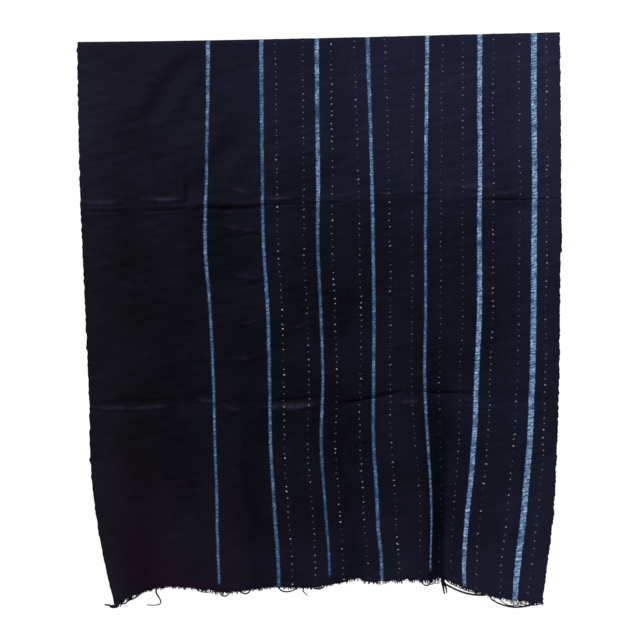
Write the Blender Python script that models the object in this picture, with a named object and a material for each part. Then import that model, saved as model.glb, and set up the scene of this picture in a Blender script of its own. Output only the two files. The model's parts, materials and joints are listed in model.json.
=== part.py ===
"""A hand-woven indigo cotton cloth of nine strips, folded over a hanging rod that is no part of it.

Lengths are in metres and the tables are in millimetres. +Z is up, and the front of the cloth faces -Y. The origin
lies under the middle of the fold, where the rod bears. Across is measured on the flat cloth from its left edge,
and drop is measured down from the origin.
"""

import math
import random
from collections import namedtuple

import bmesh
import bpy
import numpy as np
from mathutils import Vector

MM = 0.001

# The flat cloth
STRIP_COUNT = 9
STRIP_WIDTH = 0.120
CLOTH_WIDTH = STRIP_COUNT * STRIP_WIDTH
CLOTH_THICKNESS = 0.0015
PIECE_GAP = 0.0003

# The fold over the rod, and how far each side hangs below it
ROD_ROOM_RADIUS = 0.011
FOLD_RADIUS = ROD_ROOM_RADIUS + CLOTH_THICKNESS / 2
FRONT_DROP = 1.227
BACK_DROP = 0.500
FRONT_HEM_BEGINS = 0.950
BACK_HEM_BEGINS = 0.250

# The frayed ends
BACKING_HEIGHT = 0.003
FRONT_STRANDS_PER_STRIP = 12
BACK_STRANDS_PER_STRIP = 8
STRAND_THICKNESS = 0.0011
STRAND_TAPER = 0.4
LOOSE_THREAD_STEPS = 6
SHORT_END_LEAN = 0.35
SHORT_END_FORWARD = 0.12
SHORT_END_NECK = 0.25

# The faces of a strip
COLUMNS_PER_STRIP = 4
FOLD_STEPS = 6
ROW_PITCH = 0.056
CREASE_ROWS = (-0.026, -0.012, 0.0, 0.012, 0.026)
CREASE_CLEARANCE = 0.014
CREASE_SHARPNESS = 1.5
SMOOTH_BELOW = math.radians(50)

# How far the hanging front has moved sideways at each drop, with a column for each of these places across
SIDEWAYS_ACROSS = (0, 240, 600, 780, 900, 1080)
Shift = namedtuple("Shift", "drop left_edge seam_2 seam_5 stripe_5 stripe_6 right_edge")
SIDEWAYS = (
    Shift(0, 0, 0, 0, 0, 0, 0),
    Shift(300, 0, -8, -6, -5, -4, -3),
    Shift(600, 7, -6, -8, -12, -11, -11),
    Shift(800, 12, -2, -11, -15, -21, -17),
    Shift(950, 14, 2, -12, -12, -35, -25),
    Shift(1080, 31, 8, -8, -10, -50, -34),
    Shift(1180, 50, 15, -2, -12, -57, -48),
    Shift(1260, 68, 19, -2, -13, -57, -60),
)

# The long folds that grow towards the hem; reach is positive away from the other side of the cloth
Fold = namedtuple("Fold", "name across_top across_hem begins full half_width reach")
FRONT_FOLDS = (
    Fold("left_edge_curl", 0, 0, 850, 1300, 120, 56),
    Fold("left_trough", 150, 170, 650, 1250, 105, -22),
    Fold("left_ridge", 300, 320, 600, 1200, 105, 17),
    Fold("middle_left_trough", 430, 430, 600, 1200, 90, -15),
    Fold("middle_ridge", 530, 540, 600, 1200, 90, 9),
    Fold("middle_right_trough", 640, 640, 600, 1200, 80, -12),
    Fold("right_ridge", 725, 730, 600, 1200, 80, 13),
    Fold("deep_trough", 836, 842, 600, 1130, 78, -46),
    Fold("far_right_ridge", 945, 950, 650, 1130, 90, 8),
    Fold("right_edge_turn", 1080, 1080, 800, 1250, 100, -6),
    Fold("upper_swell", 620, 560, 60, 420, 420, 5),
)
BACK_FOLDS = (
    Fold("left_back_ridge", 190, 180, 40, 500, 170, 9),
    Fold("middle_back_ridge", 560, 575, 40, 500, 190, 11),
    Fold("right_back_ridge", 900, 915, 40, 500, 165, 8),
)

# The marks that folding for storage has left, each at its drop in five places across
CREASE_ACROSS = (0, 270, 540, 810, 1080)
Crease = namedtuple("Crease", "name left middle_left middle middle_right right half_width reach")
FRONT_CREASES = (
    Crease("upper_crease", 377, 371, 370, 362, 374, 30, 5),
    Crease("lower_crease", 821, 812, 817, 803, 820, 30, -5),
)
BACK_CREASES = (Crease("back_crease", 76, 78, 77, 75, 76, 28, 4),)

# Soft dents that run slantwise, each from one place on the front to another
Dent = namedtuple("Dent", "name from_across from_drop to_across to_drop half_width reach")
FRONT_DENTS = (
    Dent("shoulder_dent", 236, 60, 168, 160, 34, -5),
    Dent("stripe_dent", 345, 240, 268, 330, 36, -5),
    Dent("long_hollow", 156, 401, 238, 790, 80, -7),
    Dent("right_hollow", 880, 240, 960, 350, 60, 4),
)

# The drop of each hem along its edge; the front's is lowest at its corners
Corner = namedtuple("Corner", "across drop")
FRONT_HEM = (
    Corner(0, 1252),
    Corner(50, 1237),
    Corner(110, 1227),
    Corner(180, 1227),
    Corner(290, 1233),
    Corner(380, 1229),
    Corner(480, 1230),
    Corner(600, 1216),
    Corner(660, 1223),
    Corner(725, 1215),
    Corner(775, 1222),
    Corner(835, 1226),
    Corner(900, 1237),
    Corner(960, 1253),
    Corner(1015, 1272),
    Corner(1080, 1276),
)
BACK_HEM = (
    Corner(0, 494),
    Corner(180, 503),
    Corner(420, 498),
    Corner(700, 505),
    Corner(900, 499),
    Corner(1080, 489),
)

# Threads that have worked loose from the hem. Side and fall are from the root: twice for the pull of the curve,
# and last for the tip.
Thread = namedtuple("Thread", "across side_1 fall_1 side_2 fall_2 tip_side tip_fall forward")
LOOSE_THREADS = (
    Thread(6, -6, 4, -14, 4, -24, 2, 2),
    Thread(46, 0, 5, -1, 8, -4, 12, 2),
    Thread(116, 5, 22, 26, 44, -27, 39, 4),
    Thread(262, 9, 10, 28, 17, 45, 9, 3),
    Thread(318, 6, 13, 17, 15, 25, 7, 4),
    Thread(378, 4, 9, 13, 11, 18, 7, 2),
    Thread(468, 6, 14, 21, 18, 30, 9, 4),
    Thread(526, 1, 6, 3, 11, 7, 17, 3),
    Thread(840, 1, 10, 3, 20, 6, 29, 2),
    Thread(858, 12, 20, 48, 31, 82, 28, 5),
    Thread(968, 5, 16, 40, 20, 66, 17, 4),
    Thread(1046, 4, 8, 16, 12, 29, 6, 3),
)

INDIGO = (0.010, 0.010, 0.020, 1.0)
STRIPED_INDIGO = (0.013, 0.014, 0.028, 1.0)
FRAY = (0.020, 0.019, 0.030, 1.0)
CLOTH_ROUGHNESS = 0.92
FIRST_STRIPED = 3


def smooth_through(places, values, at):
    """Heights at the places at, on a smooth curve through the values. Values may hold a column for each of at."""
    places = np.asarray(places, float)
    values = np.asarray(values, float)
    slopes = np.gradient(values, places, axis=0)
    low = np.clip(np.searchsorted(places, at, side="right") - 1, 0, len(places) - 2)
    span = places[low + 1] - places[low]
    t = np.clip((at - places[low]) / span, 0, 1)
    column = (np.arange(len(at)),) if values.ndim == 2 else ()
    start, end = values[(low, *column)], values[(low + 1, *column)]
    start_slope, end_slope = slopes[(low, *column)] * span, slopes[(low + 1, *column)] * span
    return (
        start
        + t * start_slope
        + t**2 * (3 * (end - start) - 2 * start_slope - end_slope)
        + t**3 * (2 * (start - end) + start_slope + end_slope)
    )


def ease(t):
    """Goes softly from 0 to 1 as t does."""
    t = np.clip(t, 0, 1)
    return t**2 * (3 - 2 * t)


def hump(distance, half_width):
    """A soft ridge that is 1 at its line and 0 beyond its half width."""
    return np.where(np.abs(distance) < half_width, 0.5 + 0.5 * np.cos(np.pi * distance / half_width), 0)


def fold_reach(folds, across, drop, full_drop):
    """How far the long folds stand out at each place."""
    reach = np.zeros_like(across)
    for fold in folds:
        line = MM * (fold.across_top + (fold.across_hem - fold.across_top) * drop / full_drop)
        grown = ease((drop / MM - fold.begins) / (fold.full - fold.begins))
        reach += MM * fold.reach * grown * hump(across - line, fold.half_width * MM)
    return reach


def crease_drops(crease):
    """The crease's drop at each of the places across that the table of creases uses."""
    return (crease.left, crease.middle_left, crease.middle, crease.middle_right, crease.right)


def crease_reach(creases, across, drop):
    """How far the storage creases stand out at each place."""
    reach = np.zeros_like(across)
    for crease in creases:
        line = MM * smooth_through(CREASE_ACROSS, crease_drops(crease), across / MM)
        nearness = np.clip(1 - np.abs(drop - line) / (crease.half_width * MM), 0, 1)
        reach += MM * crease.reach * nearness**CREASE_SHARPNESS
    return reach


def dent_reach(dents, across, drop):
    """How far the slanting dents stand out at each place."""
    reach = np.zeros_like(across)
    for dent in dents:
        run_across = (dent.to_across - dent.from_across) * MM
        run_drop = (dent.to_drop - dent.from_drop) * MM
        off_across = across - dent.from_across * MM
        off_drop = drop - dent.from_drop * MM
        length = math.hypot(run_across, run_drop)
        share = np.clip((off_across * run_across + off_drop * run_drop) / length**2, 0, 1)
        distance = np.hypot(off_across - share * run_across, off_drop - share * run_drop)
        reach += MM * dent.reach * hump(distance, dent.half_width * MM)
    return reach


def sideways_shift(across, drop):
    """How far the front has moved sideways at each place."""
    table = np.array(SIDEWAYS, float)
    places = [smooth_through(table[:, 0] * MM, column, drop) for column in table[:, 1:].T]
    return MM * smooth_through(np.array(SIDEWAYS_ACROSS) * MM, places, across)


def uneven_drop(across, level_drop, hem, begins, full_drop):
    """The drop of a level row once the uneven hem has drawn the lowest rows up or down."""
    table = np.array(hem, float)
    unevenness = MM * smooth_through(table[:, 0], table[:, 1], across / MM) - full_drop
    return level_drop + unevenness * ease((level_drop - begins) / (full_drop - begins))


def front_point(across, level_drop):
    """Points of the middle surface on the hanging front."""
    drop = uneven_drop(across, level_drop, FRONT_HEM, FRONT_HEM_BEGINS, FRONT_DROP)
    reach = (
        fold_reach(FRONT_FOLDS, across, drop, FRONT_DROP)
        + crease_reach(FRONT_CREASES, across, drop)
        + dent_reach(FRONT_DENTS, across, drop)
    )
    x = across - CLOTH_WIDTH / 2 + sideways_shift(across, drop)
    return np.stack([x, -FOLD_RADIUS - reach, -drop], axis=-1)


def back_point(across, level_drop):
    """Points of the middle surface on the flap behind."""
    drop = uneven_drop(across, level_drop, BACK_HEM, BACK_HEM_BEGINS, BACK_DROP)
    reach = fold_reach(BACK_FOLDS, across, drop, BACK_DROP) + crease_reach(BACK_CREASES, across, drop)
    return np.stack([across - CLOTH_WIDTH / 2, FOLD_RADIUS + reach, -drop], axis=-1)


def bend_point(across, angle):
    """Points of the middle surface in the bend over the rod, where the angle runs from the front to the back."""
    x = across - CLOTH_WIDTH / 2
    y = -FOLD_RADIUS * np.cos(angle)
    return np.stack([x, y, -ROD_ROOM_RADIUS + FOLD_RADIUS * np.sin(angle)], axis=-1)


def cloth_point(across, along):
    """Points of the middle surface. Along is 0 where the front leaves the bend, and grows down the front."""
    bend_length = math.pi * FOLD_RADIUS
    on_front = front_point(across, ROD_ROOM_RADIUS + np.maximum(along, 0))
    in_bend = bend_point(across, np.clip(-along, 0, bend_length) / FOLD_RADIUS)
    on_back = back_point(across, ROD_ROOM_RADIUS + np.maximum(-along - bend_length, 0))
    beyond_bend = (along < -bend_length)[:, None]
    return np.where((along >= 0)[:, None], on_front, np.where(beyond_bend, on_back, in_bend))


def cloth_normal(across, along):
    """Unit vectors out of the middle surface, away from the rod."""
    step = 0.0005
    one_way = cloth_point(across + step, along) - cloth_point(across - step, along)
    other_way = cloth_point(across, along - step) - cloth_point(across, along + step)
    normal = np.cross(one_way, other_way)
    return normal / np.linalg.norm(normal, axis=1)[:, None]


def on_faces(surface, across, along):
    """The surface's values where they lie on the flat faces between the strips' columns."""
    column_width = STRIP_WIDTH / COLUMNS_PER_STRIP
    low = np.clip(np.floor(across / column_width), 0, STRIP_COUNT * COLUMNS_PER_STRIP - 1) * column_width
    share = ((across - low) / column_width)[:, None]
    return surface(low, along) * (1 - share) + surface(low + column_width, along) * share


def level_rows(drop, creases):
    """The drops of the rows on one side, evenly apart and closer together at each crease."""
    lines = [sum(crease_drops(crease)) / len(CREASE_ACROSS) * MM for crease in creases]
    crease_rows = [line + offset for line in lines for offset in CREASE_ROWS]
    even_rows = np.linspace(ROD_ROOM_RADIUS, drop, round(drop / ROW_PITCH) + 1)
    clear = [row for row in even_rows if min(abs(row - other) for other in crease_rows) > CREASE_CLEARANCE]
    return sorted(clear + crease_rows)


def strip_rows():
    """The places along the cloth of every row of faces, from the front hem to the end of the back."""
    bend_length = math.pi * FOLD_RADIUS
    front = [drop - ROD_ROOM_RADIUS for drop in level_rows(FRONT_DROP, FRONT_CREASES)]
    bend = [-bend_length * step / FOLD_STEPS for step in range(1, FOLD_STEPS)]
    back = [-bend_length - (drop - ROD_ROOM_RADIUS) for drop in level_rows(BACK_DROP, BACK_CREASES)]
    return front[::-1] + bend + back


def dye(name, colour):
    """A plain material for one object."""
    material = bpy.data.materials.new(name)
    material.use_nodes = True
    shader = material.node_tree.nodes["Principled BSDF"]
    shader.inputs["Base Color"].default_value = colour
    shader.inputs["Roughness"].default_value = CLOTH_ROUGHNESS
    shader.inputs["Metallic"].default_value = 0.0
    material.diffuse_color = colour
    return material


def thick_grid(bm, across, along):
    """Adds a sheet of the cloth's thickness with a column for each of across and a row for each of along.

    Returns its corner points as a table of (column, row) for the layer that faces the rod, and for the outer one.
    """
    columns, rows = len(across), len(along)
    made = bmesh.ops.create_grid(bm, x_segments=columns - 1, y_segments=rows - 1, size=1.0)["verts"]
    inner = {}
    for vert in made:
        column = round((vert.co.x + 1) / 2 * (columns - 1))
        row = round((vert.co.y + 1) / 2 * (rows - 1))
        inner[column, row] = vert
    places = list(inner)
    at_across = np.array([across[column] for column, _ in places])
    at_along = np.array([along[row] for _, row in places])
    middle = on_faces(cloth_point, at_across, at_along)
    half = on_faces(cloth_normal, at_across, at_along) * CLOTH_THICKNESS / 2
    for place, point, offset in zip(places, middle, half):
        inner[place].co = Vector(point - offset)
    sheet = bm.faces[:] + bm.edges[:] + bm.verts[:]
    grown = bmesh.ops.extrude_face_region(bm, geom=sheet, use_keep_orig=True)["geom"]
    place_of = {tuple(inner[place].co): place for place in places}
    outer = {place_of[tuple(item.co)]: item for item in grown if isinstance(item, bmesh.types.BMVert)}
    for place, point, offset in zip(places, middle, half):
        outer[place].co = Vector(point + offset)
    bmesh.ops.recalc_face_normals(bm, faces=bm.faces[:])
    return inner, outer


def finished_object(name, bm, colour):
    """Turns the mesh into a named object with its own material."""
    mesh = bpy.data.meshes.new(name)
    bm.to_mesh(mesh)
    bm.free()
    mesh.shade_smooth()
    mesh.set_sharp_from_angle(angle=SMOOTH_BELOW)
    mesh.materials.append(dye(name + "_dye", colour))
    made = bpy.data.objects.new(name, mesh)
    bpy.context.scene.collection.objects.link(made)
    return made


def add_strip(number):
    """Adds one woven strip, from the front hem up over the fold and down the back."""
    left = (number - 1) * STRIP_WIDTH + PIECE_GAP / 2
    right = number * STRIP_WIDTH - PIECE_GAP / 2
    bm = bmesh.new()
    thick_grid(bm, np.linspace(left, right, COLUMNS_PER_STRIP + 1), strip_rows())
    finished_object(f"strip_{number}", bm, STRIPED_INDIGO if number >= FIRST_STRIPED else INDIGO)


def grow_strand(bm, root, outward, corners, path):
    """Grows a four-sided strand out of a face of the backing, with a ring at each point of the path.

    Corners holds, for each vertex of the root in turn, its side of the strand sideways and outwards, as 1 or -1.
    """
    centre = root.calc_center_median()
    for number, point in enumerate(path):
        root = bmesh.ops.extrude_discrete_faces(bm, faces=[root])["faces"][0]
        heading = (point - centre).normalized()
        side = heading.cross(outward).normalized()
        through = side.cross(heading)
        half = STRAND_THICKNESS / 2 * (1 - STRAND_TAPER * number / len(path))
        for vert, (sideways, outwards) in zip(root.verts, corners):
            vert.co = point + half * (side * sideways + through * outwards)
        centre = point


def bent_path(root, pulls, tip, steps):
    """Points on the curve that leaves the root, is drawn by two pulls and ends at the tip."""
    first, second = pulls
    path = []
    for step in range(1, steps + 1):
        t = step / steps
        offset = 3 * t * (1 - t) ** 2 * first + 3 * t**2 * (1 - t) * second + t**3 * tip
        path.append(root + offset)
    return path


def short_path(root, chance, length):
    """A short frayed end that hangs a little askew."""
    lean = chance.uniform(-SHORT_END_LEAN, SHORT_END_LEAN) * length
    forward = chance.uniform(-SHORT_END_FORWARD, SHORT_END_FORWARD) * length
    neck = root + SHORT_END_NECK * Vector((lean, 0, -length))
    return [neck, root + Vector((lean, forward, -length))]


def loose_paths(roots):
    """The paths of the threads that have worked loose, each by the number of the root that it leaves."""
    paths = {}
    for thread in LOOSE_THREADS:
        number = min(int(thread.across * MM / CLOTH_WIDTH * len(roots)), len(roots) - 1)
        pulls = (
            Vector((thread.side_1, -thread.forward / 2, -thread.fall_1)) * MM,
            Vector((thread.side_2, -thread.forward, -thread.fall_2)) * MM,
        )
        tip = Vector((thread.tip_side, -thread.forward, -thread.tip_fall)) * MM
        paths[number] = bent_path(roots[number], pulls, tip, LOOSE_THREAD_STEPS)
    return paths


def add_frayed_edge(name, end_along, outward, strands_per_strip, shortest, longest, seed, with_loose):
    """Adds the frayed end of the cloth: a narrow backing just off the edge, with a strand from each root face.

    Outward is 1 where along grows towards the edge, as on the front, and -1 on the back.
    """
    chance = random.Random(seed)
    across = np.linspace(PIECE_GAP / 2, CLOTH_WIDTH - PIECE_GAP / 2, STRIP_COUNT * strands_per_strip + 1)
    near = end_along + outward * PIECE_GAP
    far = near + outward * BACKING_HEIGHT
    bm = bmesh.new()
    inner, outer = thick_grid(bm, across, [far, near])
    root_faces = []
    frames = []
    for column in range(len(across) - 1):
        ring = (inner[column, 0], inner[column + 1, 0], outer[column + 1, 0], outer[column, 0])
        place_in_ring = ((outward, -1), (-outward, -1), (-outward, 1), (outward, 1))
        face = bm.faces.get(ring)
        corners = [place_in_ring[ring.index(vert)] for vert in face.verts]
        through = ring[3].co + ring[2].co - ring[1].co - ring[0].co
        root_faces.append(face)
        frames.append((through.normalized(), corners))
    roots = [face.calc_center_median() for face in root_faces]
    loose = loose_paths(roots) if with_loose else {}
    for number, face in enumerate(root_faces):
        length = chance.uniform(shortest, longest)
        path = short_path(roots[number], chance, length)
        grow_strand(bm, face, *frames[number], loose.get(number, path))
    finished_object(name, bm, FRAY)


def clear_scene():
    """Removes whatever the scene holds."""
    for old in list(bpy.data.objects):
        bpy.data.objects.remove(old, do_unlink=True)


clear_scene()
for strip in range(1, STRIP_COUNT + 1):
    add_strip(strip)
add_frayed_edge(
    "front_frayed_edge",
    end_along=FRONT_DROP - ROD_ROOM_RADIUS,
    outward=1,
    strands_per_strip=FRONT_STRANDS_PER_STRIP,
    shortest=0.004,
    longest=0.011,
    seed=11,
    with_loose=True,
)
add_frayed_edge(
    "back_frayed_edge",
    end_along=-math.pi * FOLD_RADIUS - (BACK_DROP - ROD_ROOM_RADIUS),
    outward=-1,
    strands_per_strip=BACK_STRANDS_PER_STRIP,
    shortest=0.004,
    longest=0.012,
    seed=23,
    with_loose=False,
)
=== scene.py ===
"""A hand-woven indigo cotton cloth of nine strips, folded over at the top with room for a rod.

The strips are sewn edge to edge. Seven of them have a pale blue stripe down the middle, where stitching
held back the dye, and most of these have a row of small pale dots on each side of the stripe. Lengths
are in metres, the tables are in millimetres, +Z is up and the front of the cloth faces -Y. Across is
measured on the flat cloth from its left edge, drop is measured down from the rod's bearing line, and
along is 0 where the front leaves the bend over the rod, grows down the front and is negative over the
bend and down the back.
"""

import json
import logging
import math
from dataclasses import dataclass
from enum import Enum
from functools import reduce
from random import Random
from typing import Iterable, Sequence

import bpy
import numpy as np
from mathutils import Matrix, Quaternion, Vector

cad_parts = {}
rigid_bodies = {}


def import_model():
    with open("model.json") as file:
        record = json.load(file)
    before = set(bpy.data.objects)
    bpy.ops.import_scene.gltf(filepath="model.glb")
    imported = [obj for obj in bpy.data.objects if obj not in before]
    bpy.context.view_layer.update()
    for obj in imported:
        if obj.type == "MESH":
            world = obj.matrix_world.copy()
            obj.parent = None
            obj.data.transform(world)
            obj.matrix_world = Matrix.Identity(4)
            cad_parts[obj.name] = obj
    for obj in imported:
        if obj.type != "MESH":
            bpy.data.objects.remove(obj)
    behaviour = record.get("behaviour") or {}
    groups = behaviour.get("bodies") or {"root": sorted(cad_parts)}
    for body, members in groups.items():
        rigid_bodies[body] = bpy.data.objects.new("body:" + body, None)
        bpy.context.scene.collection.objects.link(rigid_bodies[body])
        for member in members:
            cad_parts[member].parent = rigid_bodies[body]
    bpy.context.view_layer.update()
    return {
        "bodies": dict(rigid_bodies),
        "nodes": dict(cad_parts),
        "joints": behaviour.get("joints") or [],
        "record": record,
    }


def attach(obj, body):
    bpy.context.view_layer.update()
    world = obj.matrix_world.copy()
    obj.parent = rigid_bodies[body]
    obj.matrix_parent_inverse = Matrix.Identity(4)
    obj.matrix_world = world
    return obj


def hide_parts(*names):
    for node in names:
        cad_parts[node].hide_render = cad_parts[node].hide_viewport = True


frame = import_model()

log = logging.getLogger("indigo_cloth")

Colour = tuple[float, float, float, float]
Point = tuple[float, float, float]
Values = np.ndarray
Socket = bpy.types.NodeSocket
Piece = bpy.types.Object

MM = 0.001
BODY = "root"
STRIP_COUNT = 9
STRIP_WIDTH = 0.120
CLOTH_WIDTH = STRIP_COUNT * STRIP_WIDTH
ROD_ROOM_RADIUS = 0.011
SHEET_THICKNESS = 0.0011
FOLD_RADIUS = 0.01175
BEND_LENGTH = math.pi * FOLD_RADIUS
FRONT_DROP = 1.227
BACK_DROP = 0.500
FRONT_LENGTH = FRONT_DROP - ROD_ROOM_RADIUS
BACK_LENGTH = BACK_DROP - ROD_ROOM_RADIUS


class Hem(Enum):
    """The two raw ends of the cloth."""

    FRONT = "front"
    BACK = "back"


@dataclass(frozen=True)
class Fold:
    """A long fold that grows towards the hem, in millimetres; reach is positive away from the rod."""

    name: str
    across_top: float
    across_hem: float
    begins: float
    full: float
    half_width: float
    reach: float


@dataclass(frozen=True)
class Crease:
    """A mark left by folding for storage: its drop at five places across, in millimetres."""

    name: str
    drops: tuple[float, float, float, float, float]
    half_width: float
    reach: float


@dataclass(frozen=True)
class Dent:
    """A soft trough or ridge that runs from one place to another, in millimetres."""

    from_across: float
    from_drop: float
    to_across: float
    to_drop: float
    half_width: float
    reach: float


@dataclass(frozen=True)
class Thread:
    """A thread that has worked loose from the hem, with its thickness as a share of the usual one.

    The path's points are distances to the right of the root and below it, in millimetres.
    """

    across: float
    path: tuple[tuple[float, float], ...]
    thickness: float = 1.0


@dataclass(frozen=True)
class Frayed:
    """A stretch of a hem that has lost its weft, and how far up its weave ends, in millimetres."""

    start: float
    end: float
    depth: float


@dataclass(frozen=True)
class Loop:
    """A weft thread that has slipped off the hem: where it leaves and comes back, and how far it sags.

    Lengths are in millimetres. Skew moves the lowest point: above 1 to the end, below 1 to the start.
    """

    start: float
    end: float
    sag: float
    skew: float = 1.0
    thickness: float = 1.1


def smooth_through(places: Sequence[float], values: Values, at: Values) -> Values:
    """Heights on a smooth curve through the values.

    Args:
        places: Where the values stand, in rising order.
        values: One value for each place, or a row of them with a column for each of at.
        at: The places that are asked for.

    Returns:
        The curve's height at each of at.
    """
    places = np.asarray(places, float)
    values = np.asarray(values, float)
    slopes = np.gradient(values, places, axis=0)
    low = np.clip(np.searchsorted(places, at, side="right") - 1, 0, len(places) - 2)
    span = places[low + 1] - places[low]
    t = np.clip((at - places[low]) / span, 0, 1)
    column = (np.arange(len(at)),) if values.ndim == 2 else ()
    start, end = values[(low, *column)], values[(low + 1, *column)]
    start_slope = slopes[(low, *column)] * span
    end_slope = slopes[(low + 1, *column)] * span
    return (
        start
        + t * start_slope
        + t**2 * (3 * (end - start) - 2 * start_slope - end_slope)
        + t**3 * (2 * (start - end) + start_slope + end_slope)
    )


def ease(t: Values) -> Values:
    """Goes softly from 0 to 1 as t does."""
    t = np.clip(t, 0, 1)
    return t**2 * (3 - 2 * t)


def lost_weave(across: Values, stretches: Iterable[Frayed]) -> Values:
    """How far above the hem the weave ends at each place across, in metres."""
    depth = np.zeros_like(across)
    for stretch in stretches:
        inside = ease((across / MM - stretch.start) / 4 + 0.5) * ease((stretch.end - across / MM) / 4 + 0.5)
        depth = np.maximum(depth, stretch.depth * MM * inside)
    return depth


def hump(distance: Values, half_width: float) -> Values:
    """A soft ridge that is 1 at its line and 0 beyond its half width."""
    return np.where(np.abs(distance) < half_width, 0.5 + 0.5 * np.cos(np.pi * distance / half_width), 0)


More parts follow.
